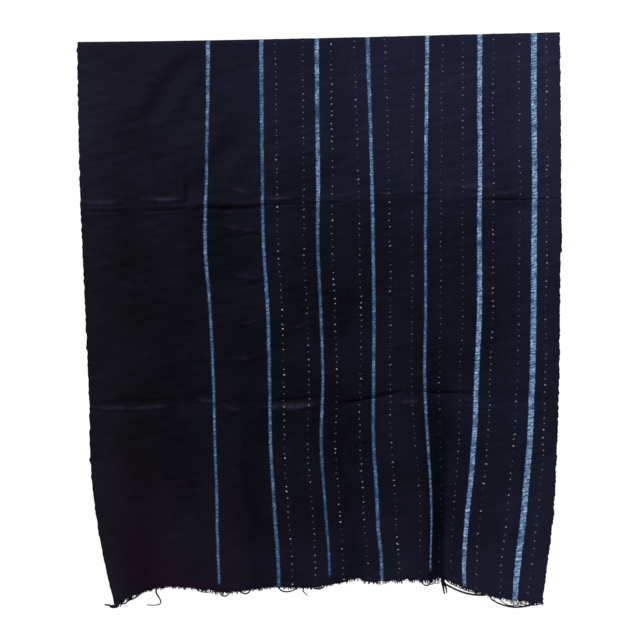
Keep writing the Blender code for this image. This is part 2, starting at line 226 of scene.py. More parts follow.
@dataclass(frozen=True)
class HangingCloth:
    """The cloth's middle surface as it hangs, with its long folds, storage creases and dents."""

    sideways_across: tuple[float, ...] = (0, 240, 600, 780, 900, 1080)
    sideways: tuple[tuple[float, ...], ...] = (
        (0, 0, 0, 0, 0, 0, 0),
        (300, 0, -8, -6, -5, -4, -3),
        (600, 7, -6, -8, -12, -11, -11),
        (800, 12, -2, -11, -15, -21, -17),
        (950, 14, 2, -12, -12, -35, -25),
        (1080, 31, 8, -8, -10, -50, -34),
        (1180, 52, 15, -2, -12, -57, -48),
        (1260, 72, 19, -2, -13, -57, -60),
    )
    front_folds: tuple[Fold, ...] = (
        Fold("left_edge_curl", 0, 0, 850, 1300, 120, 56),
        Fold("left_trough", 150, 170, 650, 1250, 105, -22),
        Fold("left_ridge", 300, 320, 600, 1200, 105, 17),
        Fold("middle_left_trough", 430, 430, 600, 1200, 90, -15),
        Fold("middle_ridge", 530, 540, 600, 1200, 90, 9),
        Fold("middle_right_trough", 640, 640, 600, 1200, 80, -12),
        Fold("right_ridge", 725, 730, 600, 1200, 80, 13),
        Fold("deep_trough", 836, 842, 600, 1130, 78, -46),
        Fold("far_right_ridge", 945, 950, 650, 1130, 90, 8),
        Fold("right_edge_turn", 1080, 1080, 800, 1250, 100, -6),
        Fold("upper_swell", 620, 560, 60, 420, 420, 5),
    )
    back_folds: tuple[Fold, ...] = (
        Fold("left_back_ridge", 190, 180, 40, 500, 170, 9),
        Fold("middle_back_ridge", 560, 575, 40, 500, 190, 11),
        Fold("right_back_ridge", 900, 915, 40, 500, 165, 8),
    )
    crease_across: tuple[float, ...] = (0, 270, 540, 810, 1080)
    crease_sharpness: float = 1.5
    front_creases: tuple[Crease, ...] = (
        Crease("upper_crease", (377, 371, 370, 362, 374), 30, 5),
        Crease("lower_crease", (821, 812, 817, 803, 820), 30, -5),
    )
    back_creases: tuple[Crease, ...] = (Crease("back_crease", (76, 78, 77, 75, 76), 28, 4),)
    front_dents: tuple[Dent, ...] = (
        Dent(236, 60, 168, 160, 36, -8),
        Dent(262, 96, 205, 168, 22, 3),
        Dent(345, 240, 268, 330, 36, -7),
        Dent(380, 262, 330, 330, 26, 3),
        Dent(156, 401, 238, 790, 80, -8),
        Dent(880, 240, 960, 350, 60, 4),
    )
    fine_dents: tuple[Dent, ...] = (
        Dent(8, 361, 92, 362, 8, 1.8),
        Dent(10, 379, 88, 381, 6, -1.3),
        Dent(146, 356, 238, 357, 9, 2.0),
        Dent(150, 380, 240, 379, 7, -1.4),
        Dent(280, 376, 345, 379, 11, -2.4),
        Dent(330, 379, 420, 376, 10, -2.2),
        Dent(408, 360, 500, 357, 7, 1.6),
        Dent(420, 372, 590, 371, 6, -1.6),
        Dent(560, 358, 610, 355, 6, 1.2),
        Dent(655, 352, 725, 353, 6, 1.6),
        Dent(765, 357, 800, 355, 6, -1.6),
        Dent(838, 338, 950, 344, 14, 2.0),
        Dent(872, 370, 1078, 372, 6, -1.7),
        Dent(930, 358, 1000, 356, 8, 1.2),
        Dent(0, 819, 110, 822, 8, 1.6),
        Dent(90, 824, 200, 817, 9, 1.5),
        Dent(70, 808, 190, 804, 7, -1.1),
        Dent(255, 806, 300, 811, 9, 2.1),
        Dent(300, 815, 372, 834, 6, 1.3),
        Dent(290, 830, 350, 842, 7, -1.2),
        Dent(408, 826, 535, 820, 13, 2.4),
        Dent(420, 812, 520, 806, 7, -1.2),
        Dent(593, 820, 660, 806, 7, -2.0),
        Dent(655, 807, 720, 796, 7, -2.0),
        Dent(715, 818, 765, 817, 9, 1.7),
        Dent(765, 797, 885, 802, 6, -1.9),
        Dent(850, 815, 950, 822, 5, 1.1),
        Dent(862, 829, 945, 836, 5, 1.2),
        Dent(880, 843, 940, 847, 5, 0.9),
        Dent(960, 822, 1072, 822, 7, -1.0),
        Dent(181, 262, 192, 316, 15, -1.8),
        Dent(258, 268, 250, 360, 13, -1.7),
        Dent(214, 270, 222, 352, 12, 1.2),
        Dent(338, 332, 400, 348, 9, 1.3),
        Dent(320, 418, 405, 430, 9, 1.2),
        Dent(330, 445, 400, 438, 8, -1.1),
        Dent(345, 530, 412, 536, 8, 1.2),
        Dent(350, 556, 408, 548, 8, -0.9),
        Dent(318, 612, 372, 640, 9, 1.3),
        Dent(365, 640, 408, 628, 8, 1.2),
        Dent(345, 716, 402, 712, 8, 1.1),
        Dent(452, 478, 512, 500, 8, 1.0),
        Dent(462, 566, 520, 580, 8, -0.9),
        Dent(470, 650, 515, 640, 8, 0.9),
        Dent(105, 440, 148, 470, 16, 1.0),
        Dent(60, 520, 140, 548, 20, -1.2),
        Dent(246, 470, 236, 585, 18, 1.5),
        Dent(206, 600, 262, 720, 22, -1.5),
        Dent(110, 700, 190, 742, 20, 1.2),
        Dent(60, 900, 120, 1010, 26, 1.5),
        Dent(205, 905, 240, 1080, 20, -1.6),
        Dent(345, 940, 372, 1090, 18, 1.5),
        Dent(470, 930, 480, 1110, 16, 1.3),
        Dent(585, 905, 600, 1060, 15, -1.2),
        Dent(690, 900, 700, 1100, 15, 1.4),
        Dent(900, 905, 880, 1110, 16, -1.6),
        Dent(1010, 905, 1000, 1120, 18, 1.4),
    )
    front_hem: tuple[tuple[float, float], ...] = (
        (0, 1252), (50, 1237), (110, 1227), (180, 1227), (290, 1233), (380, 1229), (480, 1230), (600, 1216),
        (660, 1223), (725, 1215), (775, 1222), (835, 1226), (900, 1237), (960, 1253), (1015, 1272),
        (1080, 1276),
    )
    front_hem_begins: float = 0.950
    back_hem: tuple[tuple[float, float], ...] = (
        (0, 494), (180, 503), (420, 498), (700, 505), (900, 499), (1080, 489),
    )
    back_hem_begins: float = 0.250
    fine_share: float = 2.0
    # Fine dents narrower than this, running mostly across, carry the painted crease highlights and shade.
    crease_light_width: float = 15
    fold_rise: tuple[tuple[float, float], ...] = ((0, 1.2), (140, 0), (620, 0), (860, 1.6), (1080, 2.8))
    rise_reach: float = 0.4
    ripple_seed: int = 5
    ripple_count: int = 26
    ripple_height: float = 0.00013
    ripple_start: float = 0.06

    def fold_reach(self, folds: Iterable[Fold], across: Values, drop: Values, full_drop: float) -> Values:
        """How far the long folds stand out.

        Args:
            folds: The folds of one side of the cloth.
            across: Places across, in metres.
            drop: Drops, in metres.
            full_drop: The side's whole drop, in metres.

        Returns:
            The reach at each place, in metres.
        """
        reach = np.zeros_like(across)
        for fold in folds:
            line = MM * (fold.across_top + (fold.across_hem - fold.across_top) * drop / full_drop)
            grown = ease((drop / MM - fold.begins) / (fold.full - fold.begins))
            reach += MM * fold.reach * grown * hump(across - line, fold.half_width * MM)
        return reach

    def crease_reach(self, creases: Iterable[Crease], across: Values, drop: Values) -> Values:
        """How far the storage creases stand out.

        Args:
            creases: The creases of one side of the cloth.
            across: Places across, in metres.
            drop: Drops, in metres.

        Returns:
            The reach at each place, in metres.
        """
        reach = np.zeros_like(across)
        for crease in creases:
            line = MM * smooth_through(self.crease_across, crease.drops, across / MM)
            nearness = np.clip(1 - np.abs(drop - line) / (crease.half_width * MM), 0, 1)
            reach += MM * crease.reach * nearness**self.crease_sharpness
        return reach

    def dent_reach(
        self, dents: Iterable[Dent], across: Values, drop: Values, tapered: bool = False
    ) -> Values:
        """How far the troughs and ridges that run from place to place stand out.

        Args:
            dents: The troughs and ridges.
            across: Places across, in metres.
            drop: Drops, in metres.
            tapered: Whether they fade out towards their ends.

        Returns:
            The reach at each place, in metres.
        """
        reach = np.zeros_like(across)
        for dent in dents:
            run_across = (dent.to_across - dent.from_across) * MM
            run_drop = (dent.to_drop - dent.from_drop) * MM
            off_across = across - dent.from_across * MM
            off_drop = drop - dent.from_drop * MM
            length = math.hypot(run_across, run_drop)
            share = np.clip((off_across * run_across + off_drop * run_drop) / length**2, 0, 1)
            distance = np.hypot(off_across - share * run_across, off_drop - share * run_drop)
            strength = 4 * share * (1 - share) if tapered else 1.0
            reach += MM * dent.reach * strength * hump(distance, dent.half_width * MM)
        return reach

    def crease_light_mask(self, across: Values, along: Values) -> Values:
        """How far the front's sharp ridges stand out, in millimetres, and its troughs as values below 0: the
        mask for painted highlights on the ridges and painted shade in the troughs.

        Args:
            across: Places across, in metres.
            along: Places along, in metres.

        Returns:
            The reach at each place, and 0 beyond the front.
        """
        sharp = [
            dent
            for dent in self.fine_dents
            if dent.half_width < self.crease_light_width
            and abs(dent.to_across - dent.from_across) > 3 * abs(dent.to_drop - dent.from_drop)
        ]
        return np.where(along > 0, self.dent_reach(sharp, across, along + ROD_ROOM_RADIUS, True) / MM, 0)

    def ripple_reach(self, across: Values, drop: Values) -> Values:
        """The slight unevenness that hand weaving and washing leave all over, in metres."""
        chance = Random(self.ripple_seed)
        reach = np.zeros_like(across)
        for _ in range(self.ripple_count):
            wave_across = math.tau / chance.uniform(0.035, 0.160)
            wave_drop = math.tau / chance.uniform(0.018, 0.090)
            lean = chance.choice((-1, 1))
            phase = chance.uniform(0, math.tau)
            reach += self.ripple_height * np.sin(wave_across * across + lean * wave_drop * drop + phase)
        return reach

    def sideways_shift(self, across: Values, drop: Values) -> Values:
        """How far the front has moved sideways at each place, in metres."""
        table = np.array(self.sideways, float)
        places = [smooth_through(table[:, 0] * MM, column, drop) for column in table[:, 1:].T]
        return MM * smooth_through(np.array(self.sideways_across) * MM, places, across)

    def uneven_drop(
        self,
        across: Values,
        level_drop: Values,
        hem: Sequence[tuple[float, float]],
        begins: float,
        full_drop: float,
    ) -> Values:
        """The drop of a level row once the uneven hem has drawn the lowest rows up or down.

        Args:
            across: Places across, in metres.
            level_drop: Drops on a cloth with a level hem, in metres.
            hem: The hem's drops at places across, in millimetres.
            begins: The drop from which the hem is felt, in metres.
            full_drop: The level hem's drop, in metres.

        Returns:
            The true drops, in metres.
        """
        table = np.array(hem, float)
        unevenness = MM * smooth_through(table[:, 0], table[:, 1], across / MM) - full_drop
        return level_drop + unevenness * ease((level_drop - begins) / (full_drop - begins))

    def front_point(self, across: Values, level_drop: Values) -> Values:
        """Points of the hanging front, one row for each place across and level drop."""
        drop = self.uneven_drop(across, level_drop, self.front_hem, self.front_hem_begins, FRONT_DROP)
        reach = (
            self.fold_reach(self.front_folds, across, drop, FRONT_DROP)
            + self.crease_reach(self.front_creases, across, drop)
            + self.dent_reach(self.front_dents, across, drop)
            + self.dent_reach(self.fine_dents, across, drop) * self.fine_share
            + self.ripple_reach(across, drop) * ease(drop / self.ripple_start)
        )
        x = across - CLOTH_WIDTH / 2 + self.sideways_shift(across, drop)
        return np.stack([x, -FOLD_RADIUS - reach, -drop], axis=-1)

    def back_point(self, across: Values, level_drop: Values) -> Values:
        """Points of the flap behind, one row for each place across and level drop."""
        drop = self.uneven_drop(across, level_drop, self.back_hem, self.back_hem_begins, BACK_DROP)
        reach = (
            self.fold_reach(self.back_folds, across, drop, BACK_DROP)
            + self.crease_reach(self.back_creases, across, drop)
            + self.ripple_reach(CLOTH_WIDTH - across, drop + FRONT_DROP) * ease(drop / self.ripple_start)
        )
        return np.stack([across - CLOTH_WIDTH / 2, FOLD_RADIUS + reach, -drop], axis=-1)

    def middle(self, across: Values, along: Values) -> Values:
        """Points of the middle surface, one row for each place across and along, in metres."""
        on_front = self.front_point(across, ROD_ROOM_RADIUS + np.maximum(along, 0))
        angle = np.clip(-along, 0, BEND_LENGTH) / FOLD_RADIUS
        in_bend = np.stack(
            [
                across - CLOTH_WIDTH / 2,
                -FOLD_RADIUS * np.cos(angle),
                -ROD_ROOM_RADIUS + FOLD_RADIUS * np.sin(angle),
            ],
            axis=-1,
        )
        on_back = self.back_point(across, ROD_ROOM_RADIUS + np.maximum(-along - BEND_LENGTH, 0))
        beyond_bend = (along < -BEND_LENGTH)[:, None]
        places = np.where((along >= 0)[:, None], on_front, np.where(beyond_bend, on_back, in_bend))
        rise = np.array(self.fold_rise)
        raised = MM * smooth_through(rise[:, 0], rise[:, 1], across / MM)
        places[:, 2] += raised * ease(1 + places[:, 2] / self.rise_reach)
        return places

    def directions(self, across: Values, along: Values) -> tuple[Values, Values, Values]:
        """Unit vectors across the cloth, along it towards the front hem, and out of it away from the rod.

        Args:
            across: Places across, in metres.
            along: Places along, in metres.

        Returns:
            The three directions at each place.
        """
        step = 0.0005
        one_way = self.middle(across + step, along) - self.middle(across - step, along)
        other_way = self.middle(across, along + step) - self.middle(across, along - step)
        out = np.cross(other_way, one_way)
        return tuple(v / np.linalg.norm(v, axis=1)[:, None] for v in (one_way, other_way, -out))

    def raised(self, across: Values, along: Values, height: Values) -> Values:
        """Points that stand off the middle surface by each height, in metres."""
        out = self.directions(across, along)[2]
        return self.middle(across, along) + out * np.asarray(height)[:, None]


@dataclass(frozen=True)
class Spot:
    """A stretch of a stripe that the dye reached more, or less where the tone is positive, in millimetres."""

    along: float
    half_length: float
    tone: float


@dataclass(frozen=True)
class DotRow:
    """A row of dots: its distance from the stripe's line in millimetres, and how clearly the dots show."""

    offset: float
    strength: float


@dataclass(frozen=True)
class Stripe:
    """A pale stripe of one strip, where stitching held back the dye, and the rows of dots beside it.

    Drift, half_widths and tones are the stripe's distance from the middle of its strip, half its width and
    its paleness at the places along of STRIPE_PLACES, in millimetres. Ends is how far above the hem it fades.
    """

    strip: int
    drift: tuple[float, ...]
    half_widths: tuple[float, ...]
    tones: tuple[float, ...]
    ends: float
    dots: tuple[DotRow, ...] = ()
    spots: tuple[Spot, ...] = ()

    def at(self, values: tuple[float, ...], along: Values) -> Values:
        """One of the stripe's rows of values, at each place along."""
        return smooth_through(STRIPE_PLACES, values, np.asarray(along) / MM)

    def line(self, along: Values) -> Values:
        """The stripe's place across at each place along, in metres."""
        return (self.strip - 0.5) * STRIP_WIDTH + MM * self.at(self.drift, along)

    def half_width(self, along: Values) -> Values:
        """Half the stripe's width at each place along, in metres."""
        return MM * self.at(self.half_widths, along)

    def tone(self, along: Values) -> Values:
        """How pale the stripe is at each place along."""
        tone = self.at(self.tones, along)
        for spot in self.spots:
            tone = tone + spot.tone * hump(np.asarray(along) / MM - spot.along, spot.half_length)
        return tone


STRIPE_PLACES = (-520, 0, 150, 300, 450, 600, 750, 900, 1000, 1100, 1170, 1216)
STRIPES = (
    Stripe(
        strip=3,
        drift=(0, -7, -6, -8, -13, -6, -4, -6, -7, -12, -15, -15),
        half_widths=(3.2, 4.1, 3.0, 2.7, 3.2, 2.6, 2.5, 2.3, 2.8, 2.7, 2.7, 2.3),
        tones=(0.36, 0.48, 0.4, 0.29, 0.45, 0.28, 0.31, 0.27, 0.24, 0.27, 0.27, 0.27),
        ends=18,
        spots=(Spot(258, 16, -0.2), Spot(341, 16, 0.25), Spot(520, 22, -0.15), Spot(835, 14, 0.3)),
    ),
    Stripe(
        strip=4,
        drift=(0, -8, -5, -3, -3, 3, 4, 3, 5, 5, 4, 4),
        half_widths=(3.4, 4.2, 3.6, 2.8, 2.8, 3.2, 2.8, 3.0, 3.0, 3.4, 3.3, 3.1),
        tones=(0.36, 0.48, 0.37, 0.25, 0.32, 0.37, 0.25, 0.4, 0.29, 0.22, 0.22, 0.24),
        ends=-4,
        dots=(DotRow(32, 0.95),),
        spots=(Spot(85, 24, -0.18), Spot(290, 20, -0.15), Spot(350, 14, 0.2), Spot(452, 14, 0.3)),
    ),
    Stripe(
        strip=5,
        drift=(0, -4, -2, 0, -3, 1, 5, 0, 3, 4, 2, 2),
        half_widths=(3.4, 4.4, 4.0, 3.9, 2.7, 2.7, 2.4, 2.8, 2.3, 2.2, 2.1, 1.8),
        tones=(0.4, 0.63, 0.52, 0.62, 0.24, 0.26, 0.33, 0.2, 0.17, 0.17, 0.17, 0.17),
        ends=20,
        dots=(DotRow(-31, 0.65), DotRow(32, 0.95)),
        spots=(Spot(163, 26, -0.50), Spot(560, 30, -0.16), Spot(828, 16, 0.35), Spot(900, 26, -0.12)),
    ),
    Stripe(
        strip=6,
        drift=(0, -10, -5, -1, 1, 2, 1, -2, 0, -1, 2, 2),
        half_widths=(3.6, 4.2, 3.3, 3.2, 3.2, 3.1, 3.0, 2.7, 2.9, 3.0, 3.0, 2.9),
        tones=(0.36, 0.4, 0.39, 0.53, 0.38, 0.3, 0.33, 0.24, 0.3, 0.29, 0.29, 0.32),
        ends=-2,
        dots=(DotRow(-30, 0.75), DotRow(38, 0.65)),
        spots=(Spot(372, 14, 0.2), Spot(845, 24, -0.14)),
    ),
    Stripe(
        strip=7,
        drift=(0, 3, 1, -1, -1, 0, -2, 0, 3, 2, 0, 0),
        half_widths=(3.4, 4.0, 3.5, 3.1, 2.6, 2.6, 2.9, 2.9, 3.0, 2.7, 2.5, 2.3),
        tones=(0.45, 0.87, 0.73, 0.49, 0.36, 0.34, 0.39, 0.46, 0.7, 1.1, 1.2, 1.2),
        ends=28,
        dots=(DotRow(-30, 0.5), DotRow(34, 0.5)),
        spots=(Spot(150, 12, 0.15), Spot(640, 20, -0.15)),
    ),
    Stripe(
        strip=8,
        drift=(0, 1, -1, -1, -2, 0, -2, 2, 3, 2, 1, 1),
        half_widths=(4.6, 5.0, 4.9, 4.3, 4.7, 5.1, 4.7, 5.1, 4.7, 4.7, 4.6, 4.2),
        tones=(0.75, 0.96, 1.0, 0.92, 0.65, 0.82, 0.78, 0.64, 0.64, 0.72, 0.72, 0.72),
        ends=6,
        dots=(DotRow(-37, 0.5), DotRow(30, 0.75)),
        spots=(Spot(352, 20, 0.25), Spot(470, 40, -0.2), Spot(560, 30, 0.2)),
    ),
    Stripe(
        strip=9,
        drift=(0, 2, 0, 1, 0, 1, 1, 2, 1, 0, -2, -2),
        half_widths=(5.6, 6.3, 5.9, 5.4, 5.8, 5.8, 5.7, 5.6, 5.7, 5.6, 5.6, 5.2),
        tones=(0.95, 1.0, 1.05, 0.96, 1.05, 0.88, 0.84, 0.98, 0.97, 1.03, 1.03, 1.0),
        ends=-2,
        dots=(DotRow(-33, 0.7), DotRow(28, 0.85)),
        spots=(Spot(120, 24, 0.12), Spot(610, 30, -0.15), Spot(690, 24, 0.15)),
    ),
)


class Graph:
    """Adds nodes to a material and joins them, so that a finish reads as arithmetic."""

    def __init__(self, name: str, roughness: float) -> None:
        """Starts a material with its shader's plain values.

        Args:
            name: The material's name.
            roughness: The shader's roughness.
        """
        self.material = bpy.data.materials.new(name)
        self.material.use_nodes = True
        self.tree = self.material.node_tree
        self.shader = self.tree.nodes["Principled BSDF"]
        self.shader.inputs["Roughness"].default_value = roughness

    def put(self, socket: Socket, value: object) -> None:
        """Joins a socket's input to another node's output, or gives it a plain value."""
        if isinstance(value, Socket):
            self.tree.links.new(value, socket)
        else:
            socket.default_value = value

    def node(self, kind: str, settings: dict[str, object], inputs: dict[str | int, object]) -> bpy.types.Node:
        """Adds a node.

        Args:
            kind: The node's type.
            settings: Its properties.
            inputs: Its inputs by name or number, each another node's output or a plain value.

        Returns:
            The new node.
        """
        made = self.tree.nodes.new(kind)
        for name, value in settings.items():
            setattr(made, name, value)
        for name, value in inputs.items():
            self.put(made.inputs[name], value)
        return made

    def math(self, operation: str, *values: object) -> Socket:
        """The output of a Math node on the values."""
        return self.node("ShaderNodeMath", {"operation": operation}, dict(enumerate(values))).outputs[0]

    def total(self, *values: object) -> Socket:
        """The sum of the values."""
        return reduce(lambda one, other: self.math("ADD", one, other), values)

    def times(self, one: object, other: object) -> Socket:
        """The product of two values."""
        return self.math("MULTIPLY", one, other)

    def minus(self, one: object, other: object) -> Socket:
        """The first value less the second."""
        return self.math("SUBTRACT", one, other)

    def spread(self, value: object, low: float, high: float, to_low: float, to_high: float) -> Socket:
        """The value taken smoothly from one range to another, and kept within it."""
        inputs = {"Value": value, "From Min": low, "From Max": high, "To Min": to_low, "To Max": to_high}
        made = self.node("ShaderNodeMapRange", {"interpolation_type": "SMOOTHSTEP"}, inputs)
        return made.outputs["Result"]

    def mixed(self, share: object, one: object, other: object) -> Socket:
        """One colour where share is 0 and the other where it is 1."""
        made = self.node("ShaderNodeMix", {"data_type": "RGBA"}, {})
        for place, value in zip((0, 6, 7), (share, one, other)):
            self.put(made.inputs[place], value)
        return made.outputs[2]

    def vector(self, x: object, y: object, z: object) -> Socket:
        """A vector of three values."""
        return self.node("ShaderNodeCombineXYZ", {}, {0: x, 1: y, 2: z}).outputs[0]

    def noise(self, vector: object, scale: float, detail: float = 2.0) -> Socket:
        """A cloudy value from about 0.2 to 0.8."""
        inputs = {"Vector": vector, "Scale": scale, "Detail": detail}
        return self.node("ShaderNodeTexNoise", {}, inputs).outputs["Fac"]

    def uv(self, name: str) -> tuple[Socket, Socket]:
        """The two values of one of the piece's own UV maps."""
        found = self.node("ShaderNodeUVMap", {"uv_map": name}, {}).outputs[0]
        parts = self.node("ShaderNodeSeparateXYZ", {}, {0: found})
        return parts.outputs[0], parts.outputs[1]

    def chances(self, cell: object, row: float) -> bpy.types.Node:
        """Three chance values for each whole number of cell, the same each time."""
        place = self.vector(cell, row, 0.0)
        found = self.node("ShaderNodeTexWhiteNoise", {"noise_dimensions": "2D"}, {0: place})
        return self.node("ShaderNodeSeparateColor", {}, {0: found.outputs["Color"]})


@dataclass(frozen=True)
class IndigoFinish:
    """Near-black indigo on hand-woven cotton, with its weave, its slubs, its uneven dye and painted light:
    lighter towards the top and the edges, with painted highlights and shade along the creases.
    """

    deep: Colour = (0.0019, 0.0021, 0.0038, 1.0)
    greyed: Colour = (0.0025, 0.0023, 0.0031, 1.0)
    # Painted light and fading: the colours that the cloth is lightened towards, bluer on the right and greyer
    # to the left and low down.
    faded_and_lit: Colour = (0.0150, 0.0160, 0.0385, 1.0)
    grey_faded_and_lit: Colour = (0.0155, 0.0140, 0.0250, 1.0)
    wine: Colour = (0.0072, 0.0029, 0.0064, 1.0)
    slub: Colour = (0.0120, 0.0130, 0.0270, 1.0)
    # Painted highlight: the colour laid on the sharp creases' ridges.
    painted_crease_highlight: Colour = (0.0180, 0.0155, 0.0310, 1.0)
    # Painted shade: the near-black colour laid in the sharp creases' troughs.
    trough: Colour = (0.0006, 0.0006, 0.0010, 1.0)
    roughness: float = 0.72
    thread_pitch: float = 0.0011
    weave_height: float = 0.00012
    relief_strength: float = 0.8
    specular: float = 0.035
    specular_tint: Colour = (0.72, 0.70, 1.0, 1.0)
    sheen: float = 0.004
    sheen_roughness: float = 0.5
    sheen_tint: Colour = (0.60, 0.58, 1.0, 1.0)

    def fade_and_painted_light(self, graph: Graph) -> Socket:
        """How much the dye is lightened, from 0 to 1: most near the fold and at the right edge, least in the
        middle; partly uneven fading, partly painted light.

        Args:
            graph: The material that is being made.

        Returns:
            The share's output.
        """
        across, along = graph.uv(WEAVE_UV)
        place = graph.vector(across, along, 0.0)
        high_up = graph.spread(along, 0.60, 0.08, 0.0, 1.0)
        return graph.math(
            "MAXIMUM",
            graph.total(
                # Painted light: the top of the front is lighter, more so to the right.
                graph.times(high_up, graph.spread(across, 0.1, 0.9, 0.19, 0.36)),
                # Painted light: lighter over the right half, at both edges and low down.
                graph.spread(across, 0.50, 0.86, 0.0, 0.11),
                graph.spread(across, 0.88, 1.06, 0.0, 0.20),
                graph.spread(across, 0.12, 0.0, 0.0, 0.13),
                graph.spread(along, 0.95, 1.17, 0.0, 0.12),
                # Uneven fading of the dye, at random.
                graph.spread(graph.noise(place, 8.0, 3.0), 0.3, 0.7, -0.05, 0.08),
                graph.spread(graph.noise(place, 210.0, 3.0), 0.25, 0.75, -0.06, 0.07),
            ),
            0.0,
        )

    def colour(self, graph: Graph) -> Socket:
        """The cloth's colour before any stripe, with painted light: lighter towards the top and the edges,
        highlights on the creases' ridges and shade in their troughs.

        Args:
            graph: The material that is being made.

        Returns:
            The colour's output.
        """
        across, along = graph.uv(WEAVE_UV)
        place = graph.vector(across, along, 0.0)
        dark = graph.mixed(graph.spread(across, 0.30, 0.05, 0.0, 1.0), self.deep, self.greyed)
        grey_share = graph.times(
            graph.spread(across, 0.62, 0.10, 0.0, 1.0), graph.spread(along, 0.30, 0.75, 0.25, 1.0)
        )
        # Painted light mixed with uneven fading: the base is lightened towards the top, the edges and the
        # hem.
        base = graph.mixed(self.fade_and_painted_light(graph), dark, graph.mixed(grey_share, self.faded_and_lit, self.grey_faded_and_lit))
        wine_clouds = graph.spread(graph.noise(place, 7.0, 2.0), 0.36, 0.60, 0.25, 1.0)
        low_down = graph.spread(along, 0.86, 1.08, 0.08, 0.90)
        off_the_edge = graph.spread(across, 0.0, 0.09, 0.25, 1.0)
        to_the_left = graph.times(graph.spread(across, 0.46, 0.16, 0.12, 1.0), off_the_edge)
        wine = graph.times(wine_clouds, graph.times(low_down, to_the_left))
        base = graph.mixed(wine, base, self.wine)
        # Painted highlight on the creases' ridges, in patches, and painted shade in their troughs.
        crease_light_mask = graph.uv(CREASE_LIGHT_UV)[0]
        patchy = graph.spread(graph.noise(place, 48.0, 4.0), 0.34, 0.62, 0.20, 1.0)
        painted_crease_highlight = graph.times(graph.spread(crease_light_mask, 0.2, 2.2, 0.0, 0.80), patchy)
        base = graph.mixed(painted_crease_highlight, base, self.painted_crease_highlight)
        base = graph.mixed(graph.spread(crease_light_mask, -0.2, -2.2, 0.0, 0.75), base, self.trough)
        weft = graph.noise(graph.vector(graph.times(across, 0.05), along, 0.0), 520.0, 1.0)
        warp = graph.noise(graph.vector(across, graph.times(along, 0.05), 4.0), 520.0, 1.0)
        weft_slubs = graph.spread(weft, 0.66, 0.80, 0.0, 0.30)
        warp_slubs = graph.spread(warp, 0.66, 0.80, 0.0, 0.22)
        return graph.mixed(graph.math("MAXIMUM", weft_slubs, warp_slubs), base, self.slub)

    def weave(self, graph: Graph) -> Socket:
        """The height of the woven threads, from 0 to 1.

        Args:
            graph: The material that is being made.

        Returns:
            The height's output.
        """
        across, along = graph.uv(WEAVE_UV)
        wobble = graph.times(graph.noise(graph.vector(across, along, 2.0), 90.0, 1.0), 2.2)
        turn = math.tau / self.thread_pitch / 2
        one = graph.math("SINE", graph.total(graph.times(across, turn), wobble))
        other = graph.math("SINE", graph.total(graph.times(along, turn), wobble))
        crossing = graph.times(one, other)
        return graph.math("MULTIPLY_ADD", crossing, 0.5, 0.5)

    def finish(self, graph: Graph, colour: Socket, height: Socket) -> None:
        """Joins the colour and the relief to the shader.

        Args:
            graph: The material that is being made.
            colour: The final colour.
            height: The relief, in thread heights.
        """
        relief = {"Strength": self.relief_strength, "Distance": self.weave_height, "Height": height}
        bump = graph.node("ShaderNodeBump", {}, relief)
        graph.put(graph.shader.inputs["Base Color"], colour)
        graph.put(graph.shader.inputs["Normal"], bump.outputs[0])
        graph.shader.inputs["Specular IOR Level"].default_value = self.specular
        graph.shader.inputs["Specular Tint"].default_value = self.specular_tint
        graph.shader.inputs["Sheen Weight"].default_value = self.sheen
        graph.shader.inputs["Sheen Roughness"].default_value = self.sheen_roughness
        graph.shader.inputs["Sheen Tint"].default_value = self.sheen_tint

    def material(self, name: str) -> bpy.types.Material:
        """The whole material for a plain strip."""
        graph = Graph(name, self.roughness)
        self.finish(graph, self.colour(graph), self.weave(graph))
        return graph.material


